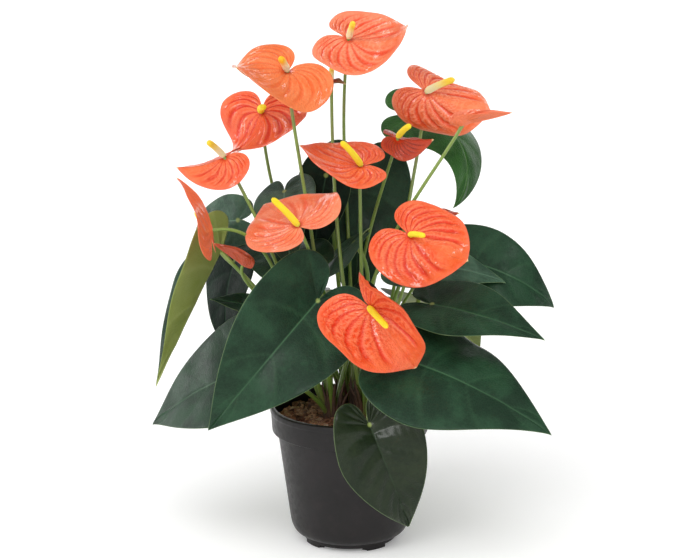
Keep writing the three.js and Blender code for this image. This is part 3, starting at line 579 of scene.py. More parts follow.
def leaf_tissue(nodes, given):
    """Mottled green with paler veins above, and a lighter underside with raised veins."""
    flat = nodes.measure("flat", "Vector")
    vein, midrib, margin, root, under = (
        nodes.measure(name) for name in ("vein", "midrib", "margin", "root", "under")
    )
    upper = nodes.effect("patches", Place=flat, Size=26.0, One=given["Dark"], Other=given["Light"])[0]
    net = nodes.span(nodes.net(flat, 0.42), 0.0, 0.16)
    lines = nodes.math("SUBTRACT", 1.0, net)
    upper = nodes.mix(nodes.times(lines, 0.07), upper, given["Vein"])
    upper = nodes.mix(nodes.times(vein, 0.25), upper, given["Vein"])
    spine = nodes.times(nodes.span(midrib, 0.3, 0.9, 1.0, 0.0), nodes.span(root, 0, 100, 0.8, 0.3))
    upper = nodes.mix(spine, upper, given["Vein"])
    upper = nodes.mix(nodes.span(margin, 0.1, 0.6, 0.4, 0.0), upper, "#86a46e")
    upper = nodes.mix(nodes.span(root, 1.2, 2.8, 0.8, 0.0), upper, "#93a35a")
    paler = nodes.mix(0.22, given["Underside"], "#d8dcb0")
    lower = nodes.mix(nodes.noise(flat, 0.05, 3.0), given["Underside"], paler)
    raised = nodes.math("MAXIMUM", nodes.times(vein, 0.7), nodes.span(midrib, 0.5, 1.4, 1.0, 0.0))
    lower = nodes.mix(raised, lower, "#a8b570")
    lower = nodes.mix(nodes.times(lines, 0.2), lower, "#93a05a")
    uneven = nodes.span(nodes.noise(flat, 0.12, 3.0), 0.3, 0.7, 0.34, 0.46)
    rough = nodes.plus(uneven, nodes.times(under, 0.14))
    height = nodes.plus(nodes.times(net, 0.35), nodes.noise(flat, 0.3, 3.0))
    return nodes.mix(under, upper, lower), rough, height


def spathe_tissue(nodes, given):
    """Petal colour with painted shade in the grooves, painted highlights on the ridges, margin and tip, and
    a duller underside.
    """
    flat = nodes.measure("flat", "Vector")
    vein, ridge, margin, root, tip, under = (
        nodes.measure(name) for name in ("vein", "ridge", "margin", "root", "tip", "under")
    )
    upper = nodes.effect("patches", Place=flat, Size=18.0, One=given["Petal"], Other=given["Blush"])[0]
    # Painted shade: the grooves are darkened towards the Groove colour.
    upper = nodes.mix(nodes.times(vein, 0.95), upper, given["Groove"])
    # Painted highlight: thin Glint lines along the ridges.
    upper = nodes.mix(nodes.times(ridge, 0.4), upper, given["Glint"])
    edge = nodes.plus(margin, nodes.span(nodes.noise(flat, 0.25, 3.0), 0.3, 0.7, -1.2, 1.2))
    upper = nodes.mix(nodes.span(edge, 0.0, 5.5, 0.6, 0.0), upper, given["Margin"])
    upper = nodes.mix(nodes.span(root, 2.0, 6.5, 0.75, 0.0), upper, "#c01c04")
    lower = nodes.mix(nodes.times(vein, 0.5), given["Underside"], given["Petal"])
    colour = nodes.mix(under, upper, lower)
    colour = nodes.mix(nodes.span(tip, 0.8, 2.6, 0.8, 0.0), colour, "#f0d9a0")
    bent = nodes.noise(flat, 0.25, 1.0, "Color")
    crumpled = nodes.vector("ADD", flat, nodes.vector("SCALE", bent, 5.0))
    net = nodes.span(nodes.net(crumpled, 0.42), 0.0, 0.3)
    return colour, nodes.plus(net, nodes.noise(flat, 0.6, 3.0))


EFFECTS = {}


def add_effect(name, colours, others, outputs, build):
    """Makes a group of shader nodes for several materials; build returns what it gives out."""
    inputs = dict(others, **{colour: "colour" for colour in colours})
    tree, nodes, given = new_tree(name, "ShaderNodeTree", inputs, outputs)
    nodes.add("NodeGroupOutput", dict(zip(outputs, build(nodes, given))))
    EFFECTS[name] = tree


LEAF_PARTS = ("Dark", "Light", "Vein", "Underside")
# A spathe's Groove colour is its painted groove shade, and Glint is its painted highlight.
SPATHE_PARTS = ("Petal", "Blush", "Groove", "Glint", "Margin", "Underside")
add_effect(
    "patches", ("One", "Other"), {"Place": "vector", "Size": "value"}, {"Colour": "colour"}, patches
)
add_effect(
    "leaf tissue", LEAF_PARTS, {}, {"Colour": "colour", "Roughness": "value", "Height": "value"},
    leaf_tissue,
)
add_effect("spathe tissue", SPATHE_PARTS, {}, {"Colour": "colour", "Height": "value"}, spathe_tissue)


# ---------- materials ----------
LEAF_TONES = {
    "green": "#132a1b #213f2a #3f6344 #5c6c2c",
    # painted_shade is a darker copy of the green, as painted shade for leaves deep inside the plant.
    "painted_shade": "#0e1a14 #18291f #2f4a38 #55662f",
    # grey is a lighter grey-green copy of the green, as painted sheen for leaves that gleam grey.
    "grey": "#283f31 #43604c #5f8068 #5f7040",
    "bright": "#1e4418 #2f5c24 #5c8646 #5f7a34",
    "olive": "#132a1b #213f2a #3f6344 #84943f",
    "brown": "#1a2516 #26301e #2c3c28 #4d5630",
}
SPATHE_TONES = {
    "salmon": "#ea6a38 #ee8a62 #dc3e10 #f8ac8c #ee8464 #e07044",
    # lit_pale is a lighter copy of the petal colours, as painted light for petals that face away from the
    # lamps.
    "lit_pale": "#f0682e #f28050 #dc3c0c #fcb494 #f29070 #ea7048",
    "coral": "#ea541e #ee6e3a #d22800 #f89c74 #f07250 #e25a2c",
    "orange": "#ec6c2c #f08048 #e0500f #f8a874 #f28450 #d88450",
    "rust": "#c4461e #d0582e #9c2408 #e07850 #cc5a34 #bc4a26",
    "red": "#a62a0e #b63a18 #641408 #c4502c #ac4424 #983c22",
    "withered": "#8a6248 #a57a55 #5e3e2c #b08a60 #6e4a34 #8c6a4c",
}
LEAF_SHINE = {
    "painted_shade": dict(Specular_IOR_Level=0.04, Coat_Weight=0.02),
    "brown": dict(Specular_IOR_Level=0.05, Coat_Weight=0.3),
}
USUAL_LEAF_SHINE = dict(Specular_IOR_Level=0.14, Coat_Weight=0.05)
WET = dict(Roughness=0.45, Coat_Weight=0.6)
DRY = dict(Roughness=0.7, Coat_Weight=0.0)
# How deep the bumps are that only a material gives, in metres.
LEAF_BUMP, SPATHE_BUMP, STALK_BUMP, BARK_BUMP, FINE_BUMP = 0.0003, 0.00022, 0.0003, 0.0006, 0.0001


def leaf_material(tone, codes):
    shine = LEAF_SHINE.get(tone, USUAL_LEAF_SHINE)
    made, nodes, shader = material(f"leaf {tone}", Coat_Roughness=0.2, **shine)
    tissue = nodes.effect("leaf tissue", **dict(zip(LEAF_PARTS, codes.split())))
    dress(nodes, shader, tissue["Colour"], tissue["Roughness"], tissue["Height"], LEAF_BUMP)
    return made


def spathe_material(tone, codes):
    shine = DRY if tone == "withered" else WET
    made, nodes, shader = material(f"spathe {tone}", Specular_IOR_Level=0.18, Coat_Roughness=0.1, **shine)
    tissue = nodes.effect("spathe tissue", **dict(zip(SPATHE_PARTS, codes.split())))
    dress(nodes, shader, tissue["Colour"], None, tissue["Height"], SPATHE_BUMP)
    return made


def stalk_material():
    """Streaked green, brownish in places and at the foot, pale at a leaf's knee; sheaths are dry."""
    made, nodes, shader = material("stalk", Coat_Weight=0.12)
    place = nodes.place()
    along, bloom, dry = (nodes.measure(name) for name in ("along", "bloom", "dry"))
    streaks = nodes.noise(nodes.vector("MULTIPLY", place, (1.0, 1.0, 0.09)), 1.1, 3.0)
    petiole = nodes.mix(streaks, "#567526", "#7f9f3c")
    peduncle = nodes.mix(streaks, "#5f7d2c", "#88a04a")
    colour = nodes.mix(bloom, petiole, peduncle)
    flushed = nodes.times(nodes.span(nodes.noise(place, 0.03, 2.0), 0.5, 0.75), 0.3)
    colour = nodes.mix(flushed, colour, "#8b6a45")
    knee = nodes.times(nodes.span(along, 0.86, 0.95), nodes.math("SUBTRACT", 1.0, bloom))
    colour = nodes.mix(nodes.times(knee, 0.5), colour, "#a8b560")
    colour = nodes.mix(nodes.span(along, 0.0, 0.12, 0.7, 0.0), colour, "#76603a")
    colour = nodes.mix(dry, colour, nodes.mix(streaks, "#3a2419", "#6e4c34"))
    rough = nodes.plus(0.4, nodes.times(dry, 0.35))
    dress(nodes, shader, colour, rough, streaks, STALK_BUMP, 0.5)
    return made


def spadix_material(name, foot, head):
    """One colour at the foot and one at the head, with florets of slightly different tints."""
    made, nodes, shader = material(name, Roughness=0.5, Subsurface_Weight=0.15, Subsurface_Scale=0.001)
    along, tint = nodes.measure("along"), nodes.measure("tint")
    colour = nodes.mix(nodes.span(along, 0.25, 0.9), foot, head)
    colour = nodes.mix(nodes.times(tint, 0.2), colour, "#f0cc2c")
    colour = nodes.mix(nodes.span(along, 0.0, 0.06, 0.5, 0.0), colour, "#b9c06a")
    dress(nodes, shader, colour, None, nodes.noise(nodes.place(), 2.2, 2.0), FINE_BUMP, 0.4)
    return made


def pot_material():
    """Near-black moulded plastic with a little dust."""
    made, nodes, shader = material("pot", Specular_IOR_Level=0.3)
    place = nodes.place()
    plastic = nodes.effect("patches", Place=place, Size=45.0, One="#100d0d", Other="#171314")[0]
    dust = nodes.times(nodes.span(nodes.noise(place, 0.09, 5.0), 0.52, 0.75), 0.25)
    rough = nodes.span(nodes.noise(place, 0.22, 5.0), 0.3, 0.7, 0.36, 0.5)
    colour = nodes.mix(dust, plastic, "#2c2624")
    dress(nodes, shader, colour, rough, nodes.noise(place, 3.5, 2.0), FINE_BUMP, 0.25)
    return made


def bark_material():
    """Dark substrate and chips from brown to pale tan, with grain."""
    made, nodes, shader = material("bark and coir", Roughness=0.85)
    ramp = nodes.add("ShaderNodeValToRGB", {"Fac": nodes.measure("tint")})
    stops = ((0.0, "#3a251c"), (0.35, "#80503e"), (0.65, "#b87c62"), (0.88, "#d8a284"), (1.0, "#e8c4a4"))
    elements = ramp.color_ramp.elements
    for where, _ in stops[1:-1]:
        elements.new(where)
    for element, (_, code) in zip(elements, stops):
        element.color = rgb(code)
    grain = nodes.noise(nodes.vector("MULTIPLY", nodes.place(), (0.6, 0.6, 2.0)), 0.9, 4.0)
    colour = nodes.mix(nodes.span(grain, 0.3, 0.75, 0.55, 0.0), ramp.outputs["Color"], "#2b1b14")
    dress(nodes, shader, colour, None, grain, BARK_BUMP)
    return made


MATERIALS = {
    "stalk": stalk_material(),
    "pot": pot_material(),
    "bark": bark_material(),
    "yellow": spadix_material("yellow spadix", "#f6e232", "#fae428"),
    "cream": spadix_material("cream spadix", "#f4ecc4", "#f6d63c"),
    "two tones": spadix_material("spadix of two tones", "#f6efd0", "#f8be10"),
}
for tone, codes in LEAF_TONES.items():
    MATERIALS[f"leaf {tone}"] = leaf_material(tone, codes)
for tone, codes in SPATHE_TONES.items():
    MATERIALS[f"spathe {tone}"] = spathe_material(tone, codes)


# ---------- placing finished pieces ----------
def piece(name, mesh, stands_for, slot, *painted):
    """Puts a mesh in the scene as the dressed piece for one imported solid."""
    made = bpy.data.objects.new(name, mesh)
    bpy.context.scene.collection.objects.link(made)
    if painted:
        mesh.materials.clear()
    for paint in painted:
        mesh.materials.append(MATERIALS[paint])
    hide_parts(stands_for)
    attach(made, BODY)


def grown(name, host, tree, values):
    """Runs a tree of geometry nodes over a host mesh and returns the finished mesh."""
    carrier = bpy.data.objects.new(name, host)
    bpy.context.scene.collection.objects.link(carrier)
    modifier = carrier.modifiers.new(tree.name, "NODES")
    modifier.node_group = tree
    for item in tree.interface.items_tree:
        if item.in_out == "INPUT" and item.name in values:
            modifier[item.identifier] = values[item.name]
    bpy.context.view_layer.update()
    graph = bpy.context.evaluated_depsgraph_get()
    mesh = bpy.data.meshes.new_from_object(
        carrier.evaluated_get(graph), preserve_all_data_layers=True, depsgraph=graph
    )
    carrier.modifiers.clear()
    bpy.data.objects.remove(carrier)
    mesh.name = name
    return mesh


def geometry_tree(name, **inputs):
    """An empty tree of geometry nodes with a geometry and a paint besides these inputs."""
    inputs = {"Geometry": "shape", **inputs, "Paint": "paint"}
    return new_tree(name, "GeometryNodeTree", inputs, {"Geometry": "shape"})


def close_tree(nodes, geometry, paint):
    """Ends a tree: real geometry, smooth, in its material."""
    real = nodes.made("GeometryNodeRealizeInstances", {"Geometry": geometry})
    smooth = nodes.made("GeometryNodeSetShadeSmooth", {"Geometry": real})
    painted = nodes.made("GeometryNodeSetMaterial", {"Geometry": smooth, "Material": paint})
    nodes.add("NodeGroupOutput", {0: painted})


def tube(nodes, host, sides, width):
    """The host's lines as curves, and round tubes along them, as thick as their radius says."""
    lines = nodes.made("GeometryNodeMeshToCurve", {"Mesh": host})
    ring = nodes.made("GeometryNodeCurvePrimitiveCircle", {"Resolution": sides, "Radius": width})
    inputs = {"Curve": lines, "Profile Curve": ring, "Scale": nodes.kept("radius"), "Fill Caps": True}
    return lines, nodes.made("GeometryNodeCurveToMesh", inputs)


def tubes_tree():
    """Round stalks along every line of the host."""
    tree, nodes, given = geometry_tree("stalks along lines", Sides="count")
    close_tree(nodes, tube(nodes, given["Geometry"], given["Sides"], 1.0)[1], given["Paint"])
    return tree


GOLDEN_ANGLE = 2.39996
CORE_SIDES, CORE_SHARE = 12, 0.9
FLORET_FLATNESS = 0.75


def spadix_tree():
    """Florets in a spiral round a core that follows the host's line."""
    tree, nodes, given = geometry_tree(
        "spadix florets", **{"Florets": "count", "Floret size": "value", "Seed": "count"}
    )
    line, core = tube(nodes, given["Geometry"], CORE_SIDES, CORE_SHARE)
    core = nodes.keep(core, "tint", 0.5)

    row = nodes.made("GeometryNodeMeshLine", {"Count": given["Florets"]}, mode="OFFSET")
    number = nodes.made("GeometryNodeInputIndex")
    share = nodes.math("DIVIDE", nodes.plus(number, 0.5), given["Florets"])
    turn = nodes.times(number, GOLDEN_ANGLE)
    inputs = {"Curves": line, "Factor": share, "Value": nodes.kept("radius")}
    sampled = nodes.add("GeometryNodeSampleCurve", inputs, mode="FACTOR", use_all_curves=True).outputs
    side = sampled["Normal"]
    over = nodes.vector("CROSS_PRODUCT", sampled["Tangent"], side)
    outward = nodes.vector(
        "ADD",
        nodes.vector("SCALE", side, nodes.math("COSINE", turn)),
        nodes.vector("SCALE", over, nodes.math("SINE", turn)),
    )
    out = nodes.vector("SCALE", outward, sampled["Value"])
    spot = nodes.vector("ADD", sampled["Position"], out)
    placed = nodes.made("GeometryNodeSetPosition", {"Geometry": row, "Position": spot})
    points = nodes.made("GeometryNodeMeshToPoints", {"Mesh": nodes.keep(placed, "along", share)})
    face_out = nodes.made("FunctionNodeAlignRotationToVector", {"Vector": outward}, axis="Z")
    floret = nodes.made("GeometryNodeMeshUVSphere", {"Segments": 6, "Rings": 4, "Radius": 1.0})
    size = nodes.times(given["Floret size"], nodes.chance(0.85, 1.1, given["Seed"]))
    flat = nodes.xyz(X=size, Y=size, Z=nodes.times(size, FLORET_FLATNESS))
    florets = nodes.made(
        "GeometryNodeInstanceOnPoints",
        {"Points": points, "Instance": floret, "Rotation": face_out, "Scale": flat},
    )
    florets = nodes.keep(florets, "tint", nodes.chance(0.0, 1.0, given["Seed"]), "INSTANCE")
    close_tree(nodes, nodes.joined(core, florets), given["Paint"])
    return tree


def line_host(name, lines):
    """A mesh of bare lines; each is a list of (point in mm, radius in mm, other values)."""
    points, edges, values = [], [], {}
    for line in lines:
        first = len(points)
        for point, radius, extra in line:
            points.append(tuple(c * MM for c in point))
            for key, value in dict(extra, radius=radius * MM).items():
                values.setdefault(key, []).append(value)
        edges += [(k, k + 1) for k in range(first, len(points) - 1)]
    host = bpy.data.meshes.new(name)
    host.from_pydata(points, edges, [])
    for key, numbers in values.items():
        add_measure(host, key, numbers)
    return host


# ---------- stalks, spadices ----------
def seat_gap(blade, radius, way):
    """How far from the blade's middle a round end keeps clear of it; way is 1 above, -1 below."""
    slopes = [math.radians(way * (f + float(ease(0.6)) * e)) for f, e in zip(blade["fold"], blade["ear"])]
    skin = BLADE_THICKNESS / 2 / math.cos(max(abs(a) for a in slopes))
    return skin + CLEARANCE + radius * math.tan(max(0, *slopes))


# How a stalk's radius changes along it: the share it starts with, how much more it has at a
# swelling, where along it that is, and how long.
SWELLINGS = {False: (0.92, 0.28, 0.95, 0.035), True: (0.86, 0.16, 1, 0.03)}


def stalk_line(blade, size, bloom):
    """Points of a stalk from deep in its crown to the blade it carries."""
    cx, cy = CROWNS[blade["crown"]]
    normal = blade_turn(blade)[:, 2]
    seat = np.array(blade["at"], float)
    end = seat - normal * seat_gap(blade, size["head"], -1)
    away = math.atan2(end[1] - cy, end[0] - cx)
    ring, foot = CROWN["ring"], CROWN["top"] - CROWN["rooted"]
    start = np.array([cx + ring * math.cos(away), cy + ring * math.sin(away), foot])
    span = np.linalg.norm(start - end)
    chord = unit(end - start)
    rise = unit(chord + (np.array([0, 0, 1.0]) - chord) * blade["rise"])
    arrive = unit(chord + (normal - chord) * blade["arrive"])
    sway = np.array([*blade["sway"], 0.0])
    pulls = start + rise * 0.4 * span + sway, end - arrive * blade["neck"] * span + sway
    least, more, where, reach = SWELLINGS[bloom]
    line = []
    for t in np.linspace(0, 1, 41):
        radius = size["foot"] + (size["head"] - size["foot"]) * t
        radius *= 1 + 0.5 * math.exp(-((t / 0.09) ** 2))
        radius *= least + more * math.exp(-(((t - where) / reach) ** 2))
        line.append((long_bow(start, *pulls, end, t), radius, dict(along=t, bloom=float(bloom), dry=0.0)))
    line.append((seat, size["head"] * 0.8, dict(along=1.0, bloom=float(bloom), dry=0.0)))
    return line


# The crown's own body as (height, radius), and the dry sheaths that stand round it.
CROWN_BODY = ((98, 7.5), (108, 8.3), (115, 8.0), (119, 6.6), (122, 4.5), (123.5, 1.5))
SHEATHS = dict(count=13, foot=110, circle=6.2, height=(16, 26), lean=(0.1, 0.25), radius=(0.25, 2.4))


def crown_lines(x, y, seed):
    """The short thick crown and the brown sheaths that stand round it."""
    base = dict(along=0.03, bloom=0.0, dry=0.6)
    lines = [[((x, y, z), r, base) for z, r in CROWN_BODY]]
    for k in range(SHEATHS["count"]):
        turn = 2 * math.pi * (k + float(scatter(k, 1.0, seed))) / SHEATHS["count"]
        tall, lean = (
            SHEATHS[key][0] + SHEATHS[key][1] * float(scatter(k, draw, seed))
            for key, draw in (("height", 2.0), ("lean", 3.0))
        )
        thin, thick = SHEATHS["radius"]
        line = []
        for t in np.linspace(0, 1, 7):
            away = SHEATHS["circle"] + lean * tall * t * t
            spot = (x + away * math.cos(turn), y + away * math.sin(turn), SHEATHS["foot"] + tall * t)
            line.append((spot, thick * (1 - t) ** 0.7 + thin, dict(along=0.0, bloom=0.0, dry=1.0)))
        lines.append(line)
    return lines


def spadix_line(bloom):
    """Points of a spadix from its spathe's middle outwards, with its core's radius."""
    length, radius, rise, swing = bloom["spadix"]
    rise, swing = math.radians(rise), math.radians(swing)
    level = math.cos(rise)
    turn = blade_turn(bloom)
    along = turn @ np.array([level * math.cos(swing), level * math.sin(swing), math.sin(rise)])
    normal = turn[:, 2]
    start = np.array(bloom["at"], float)
    over = start + normal * seat_gap(bloom, 0.45 * radius, 1)
    middle, end = over + (0.13 * normal + 0.38 * along) * length, over + along * length
    line = [(start, 0.75 * radius * 0.8, dict(along=0.0))]
    for t in np.linspace(0, 1, 25):
        body = radius * min(1, 0.75 + 3 * t) * (1 - 0.16 * t)
        body *= math.sqrt(max(0.02, 1 - max(0, (t - 0.9) / 0.105) ** 2))
        line.append((bow(over, middle, end, t), body * 0.84, dict(along=float(t))))
    return line


# ---------- bodies of level rings: pot and substrate ----------
def ring(radius, z, count):
    """Points in metres of a level ring round the pot's axis, from millimetres."""
    turns = (2 * math.pi * k / count for k in range(count))
    return [(radius * MM * math.cos(turn), radius * MM * math.sin(turn), z * MM) for turn in turns]


def mesh_of_rings(name, first, rings, last, from_above=False):
    """A closed body from a height on the axis over rings, told from below or above, to another."""
    count = len(rings[0])
    vertices = [(0, 0, first * MM), *(point for points in rings for point in points), (0, 0, last * MM)]
    end = len(vertices) - 1
    faces = []
    for k in range(count):
        n = (k + 1) % count
        faces.append((0, 1 + n, 1 + k))
        for a in range(1, end - count, count):
            faces.append((a + k, a + n, a + count + n, a + count + k))
        faces.append((end - count + k, end - count + n, end))
    if from_above:
        faces = [(face[0], *face[:0:-1]) for face in faces]
    mesh = bpy.data.meshes.new(name)
    mesh.from_pydata(vertices, [], faces)
    return mesh


def pot_profile():
    """Outline of the pot's wall as (radius, height, rounding of the corner)."""
    rim, top, foot, waist, wall = (POT[key] for key in ("rim", "height", "foot", "waist", "wall"))
    band, recess, inner_foot = top - POT["band"], POT["recess"], foot - POT["foot_width"]
    return [
        (0, recess, 0), (inner_foot, recess, 0.8), (inner_foot, 0, 0.6),
        (foot, 0, 0.8), (foot, 6, 1.2), (waist - 3.5, 9, 4), (waist, POT["waist_height"], 6),
        (POT["neck"], band - 0.5, 0.8), (rim - 1.7, band, 1.6), (rim - 0.7, top - 6.2, 0.8),
        (rim, top - 4.6, 0.8), (rim, top - 0.2, 1.6), (rim - 2.2, top, 1.4), (rim - 4.2, top - 0.2, 1.2),
        (rim - 4.6, band + 2, 1.0), (POT["neck"] - wall, band - 4, 1.0),
        (waist - wall, POT["waist_height"], 3), (waist - wall - 4, POT["floor"] + 1.5, 1.0),
        (waist - wall - 8, POT["floor"], 1.0), (0, POT["floor"], 0),
    ]


def rounded(profile, steps=5):
    """The profile with each corner replaced by a short curve."""
    out = []
    for k, (r, z, fillet) in enumerate(profile):
        here = np.array([r, z], float)
        if fillet == 0:
            out.append(here)
            continue
        before, after = (np.array(profile[k + d][:2], float) for d in (-1, 1))
        reach = [min(fillet, 0.45 * np.linalg.norm(p - here)) for p in (before, after)]
        a, b = (here + unit(p - here) * d for p, d in zip((before, after), reach))
        out += [bow(a, here, b, t) for t in np.linspace(0, 1, steps)]
    return out


def pot_mesh(segments):
    """The pot's wall turned about its axis, without holes."""
    profile = rounded(pot_profile())
    rings = [ring(r, z, segments) for r, z in profile[1:-1]]
    return mesh_of_rings("pot", profile[0][1], rings, profile[-1][1])


def cuts_tree():
    """Drain holes in a ring and air gaps under the foot, cut out of the host."""
    sizes = ("Ring", "Hole radius", "Hole depth", "Gap ring", "Gap width", "Gap length", "Gap height")
    inputs = {"Holes": "count", "Gaps": "count", **{name: "value" for name in sizes}}
    tree, nodes, given = geometry_tree("pot holes and gaps", **inputs, **{"First gap": "value"})

    def circle_of(tool, count, radius, **turned):
        spots = nodes.made("GeometryNodeMeshCircle", {"Vertices": count, "Radius": radius})
        return nodes.made("GeometryNodeInstanceOnPoints", {"Points": spots, "Instance": tool, **turned})

    round_tool = {"Vertices": 24, "Radius": given["Hole radius"], "Depth": given["Hole depth"]}
    hole = nodes.made("GeometryNodeMeshCylinder", round_tool)
    holes = circle_of(hole, given["Holes"], given["Ring"])
    size = nodes.xyz(X=given["Gap width"], Y=given["Gap length"], Z=nodes.times(given["Gap height"], 2.0))
    block = nodes.made("GeometryNodeMeshCube", {"Size": size})
    number = nodes.made("GeometryNodeInputIndex")
    turn = nodes.math("DIVIDE", nodes.times(number, 2 * math.pi), given["Gaps"])
    blocks = circle_of(block, given["Gaps"], given["Gap ring"], Rotation=nodes.xyz(Z=turn))
    whole = nodes.xyz(Z=given["First gap"])
    blocks = nodes.made("GeometryNodeTransform", {"Geometry": blocks, "Rotation": whole})
    real = nodes.made("GeometryNodeRealizeInstances", {"Geometry": nodes.joined(holes, blocks)})
    cut = nodes.made(
        "GeometryNodeMeshBoolean", {"Mesh 1": given["Geometry"], "Mesh 2": real},
        operation="DIFFERENCE", solver="EXACT",
    )
    close_tree(nodes, cut, given["Paint"])
    return tree


def soil_mesh(rings, sectors):
    """The rough top of the substrate with its plug below, closed."""
    ground, bottom = SOIL["top"] - SOIL["settled"], SOIL["plug"][-1][1]
    rows = []
    for row in range(1, rings + 1):
        r = SOIL["radius"] * row / rings
        points = []
        for k in range(sectors):
            turn = 2 * math.pi * k / sectors
            x, y = r * math.cos(turn), r * math.sin(turn)
            rough = float(2.2 * swell(x / 6, y / 6, 2) + 1.0 * swell(x / 2.2, y / 2.2, 4))
            points.append((x * MM, y * MM, (ground + rough) * MM))
        rows.append(points)
    rows += [ring(r, z, sectors) for r, z in SOIL["plug"]]
    return mesh_of_rings("soil", ground, rows, bottom, from_above=True)


# Which density it has, its size in metres, its points each way, how much it is bent, and its draw.
STREWN = (
    ("Chips", (0.011, 0.0052, 0.0024), (5, 3, 2), 0.0026, 1),
    ("Chips", (0.008, 0.0058, 0.0034), (4, 3, 3), 0.0030, 2),
    ("Strips", (0.021, 0.0022, 0.0013), (7, 2, 2), 0.0040, 3),
)
LEAN_LEAST, LEAN_MOST = (-0.45, -0.45, 0.0), (0.45, 0.45, 6.283)
SCALE_LEAST, SCALE_MOST = (0.6, 0.6, 0.6), (1.3, 1.35, 1.3)
GROUND_TINT, CHIP_RISE = 0.12, 0.0012


def chips_tree():
    """Bark chips and coir strips strewn over the top of the host."""
    tree, nodes, given = geometry_tree(
        "bark chips", Chips="value", Strips="value", Reach="value", Top="value", Seed="count"
    )
    parts = nodes.add("ShaderNodeSeparateXYZ", {0: nodes.made("GeometryNodeInputPosition")}).outputs
    flat = nodes.xyz(X=parts["X"], Y=parts["Y"])
    inside = nodes.math("LESS_THAN", nodes.vector("LENGTH", flat), given["Reach"])
    topside = nodes.times(inside, nodes.math("GREATER_THAN", parts["Z"], given["Top"]))
    ground = nodes.keep(given["Geometry"], "tint", GROUND_TINT)
    layers = [ground]
    for label, size, (across, along, up), bent, draw in STREWN:
        seed = nodes.plus(given["Seed"], float(draw))
        where = {"Mesh": ground, "Selection": topside, "Density": given[label], "Seed": seed}
        spots = nodes.made("GeometryNodeDistributePointsOnFaces", where)
        block = {"Size": size, "Vertices X": across, "Vertices Y": along, "Vertices Z": up}
        cube = nodes.made("GeometryNodeMeshCube", block)
        grain = {"Scale": 160.0 + 20 * draw, "Detail": 1.0}
        rumpled = nodes.add("ShaderNodeTexNoise", grain).outputs["Color"]
        push = nodes.vector("SCALE", nodes.vector("SUBTRACT", rumpled, (0.5, 0.5, 0.5)), bent)
        strewn = {
            "Points": spots,
            "Instance": nodes.made("GeometryNodeSetPosition", {"Geometry": cube, "Offset": push}),
            "Rotation": nodes.vector_chance(LEAN_LEAST, LEAN_MOST, seed),
            "Scale": nodes.vector_chance(SCALE_LEAST, SCALE_MOST, nodes.plus(seed, 7.0)),
        }
        chips = nodes.made("GeometryNodeInstanceOnPoints", strewn)
        raised = {"Instances": chips, "Translation": (0, 0, CHIP_RISE)}
        chips = nodes.made("GeometryNodeTranslateInstances", raised)
        tint = nodes.chance(0.15, 1.0, nodes.plus(seed, 3.0))
        layers.append(nodes.keep(chips, "tint", tint, "INSTANCE"))
    close_tree(nodes, nodes.joined(*layers), given["Paint"])
    return tree


# ---------- the plant ----------
# Which look a leaf, a spathe or a spadix has; the others are green, coral and yellow.
LEAF_TONE = dict(
    # Leaves given painted_shade are darkened to paint in the shade they lie in.
    far_left="olive", shaded_left="painted_shade", high_left="grey", back_left="grey", grey="grey",
    # Leaves given grey are lightened to paint in their sheen.
    centre_narrow="painted_shade", middle_right="grey", front="brown", high_right="bright", behind_bloom="painted_shade",
)
SPATHE_TONE = dict(
    # upper_right and edge_left get lit_pale, lightened to paint in light where they face away from the
    # lamps.
    top="salmon", centre_left="salmon", upper_right="lit_pale", young_right="salmon", edge_left="lit_pale",
    upper_left="orange", dark="red", hidden_right="red", young_left="rust", old="withered",
)
SPADIX_TONE = dict(top="cream", far_left="cream", upper_right="cream", old="cream", upper_left="two tones")
# How many veins each half has, how deep they lie and how puckered the petal is between them.
RELIEF = dict(
    top=(7, 1.1, 1.0), upper_left=(7, 0.6, 0.5), left=(6, 1.4, 0.6), far_left=(7, 0.8, 1.1),
    middle=(7, 0.75, 1.0), centre_left=(7, 0.6, 0.7), upper_right=(7, 1.0, 1.4), dark=(10, 0.7, 0.3),
    right=(7, 1.2, 1.2), low=(6, 1.1, 1.6), edge_left=(6, 0.5, 0.5),
)
PLAIN_RELIEF = (6, 0.4, 0.4)
LEAF_RELIEF = dict(front=(13, 3.2))
PLAIN_LEAF_RELIEF = (6, 1.0)
SPATHE_SLOT = dict(rust="spathe_dark", red="spathe_dark", withered="spathe_old")
FLORETS_PER_MM, FLORET_SIZE = 15, 0.62
FIRST_BLOOM_SEED = 41

stalk_lines = {crown: crown_lines(*CROWNS[crown], k) for k, crown in enumerate(CROWNS)}

for number, (name, values) in enumerate(LEAVES.items()):
    leaf = dict(BLADE, **values, seed=number + 1, relief=LEAF_RELIEF.get(name, PLAIN_LEAF_RELIEF))
    tone = LEAF_TONE.get(name, "green")
    slot = "leaf_underside" if tone == "olive" else "leaf"
    node = f"leaf_{name}"
    piece(f"dressed_leaf_{name}", blade_mesh(node, "leaf", leaf), node, slot, f"leaf {tone}")
    stalk_lines[leaf["crown"]].append(stalk_line(leaf, LEAF_STALK, False))

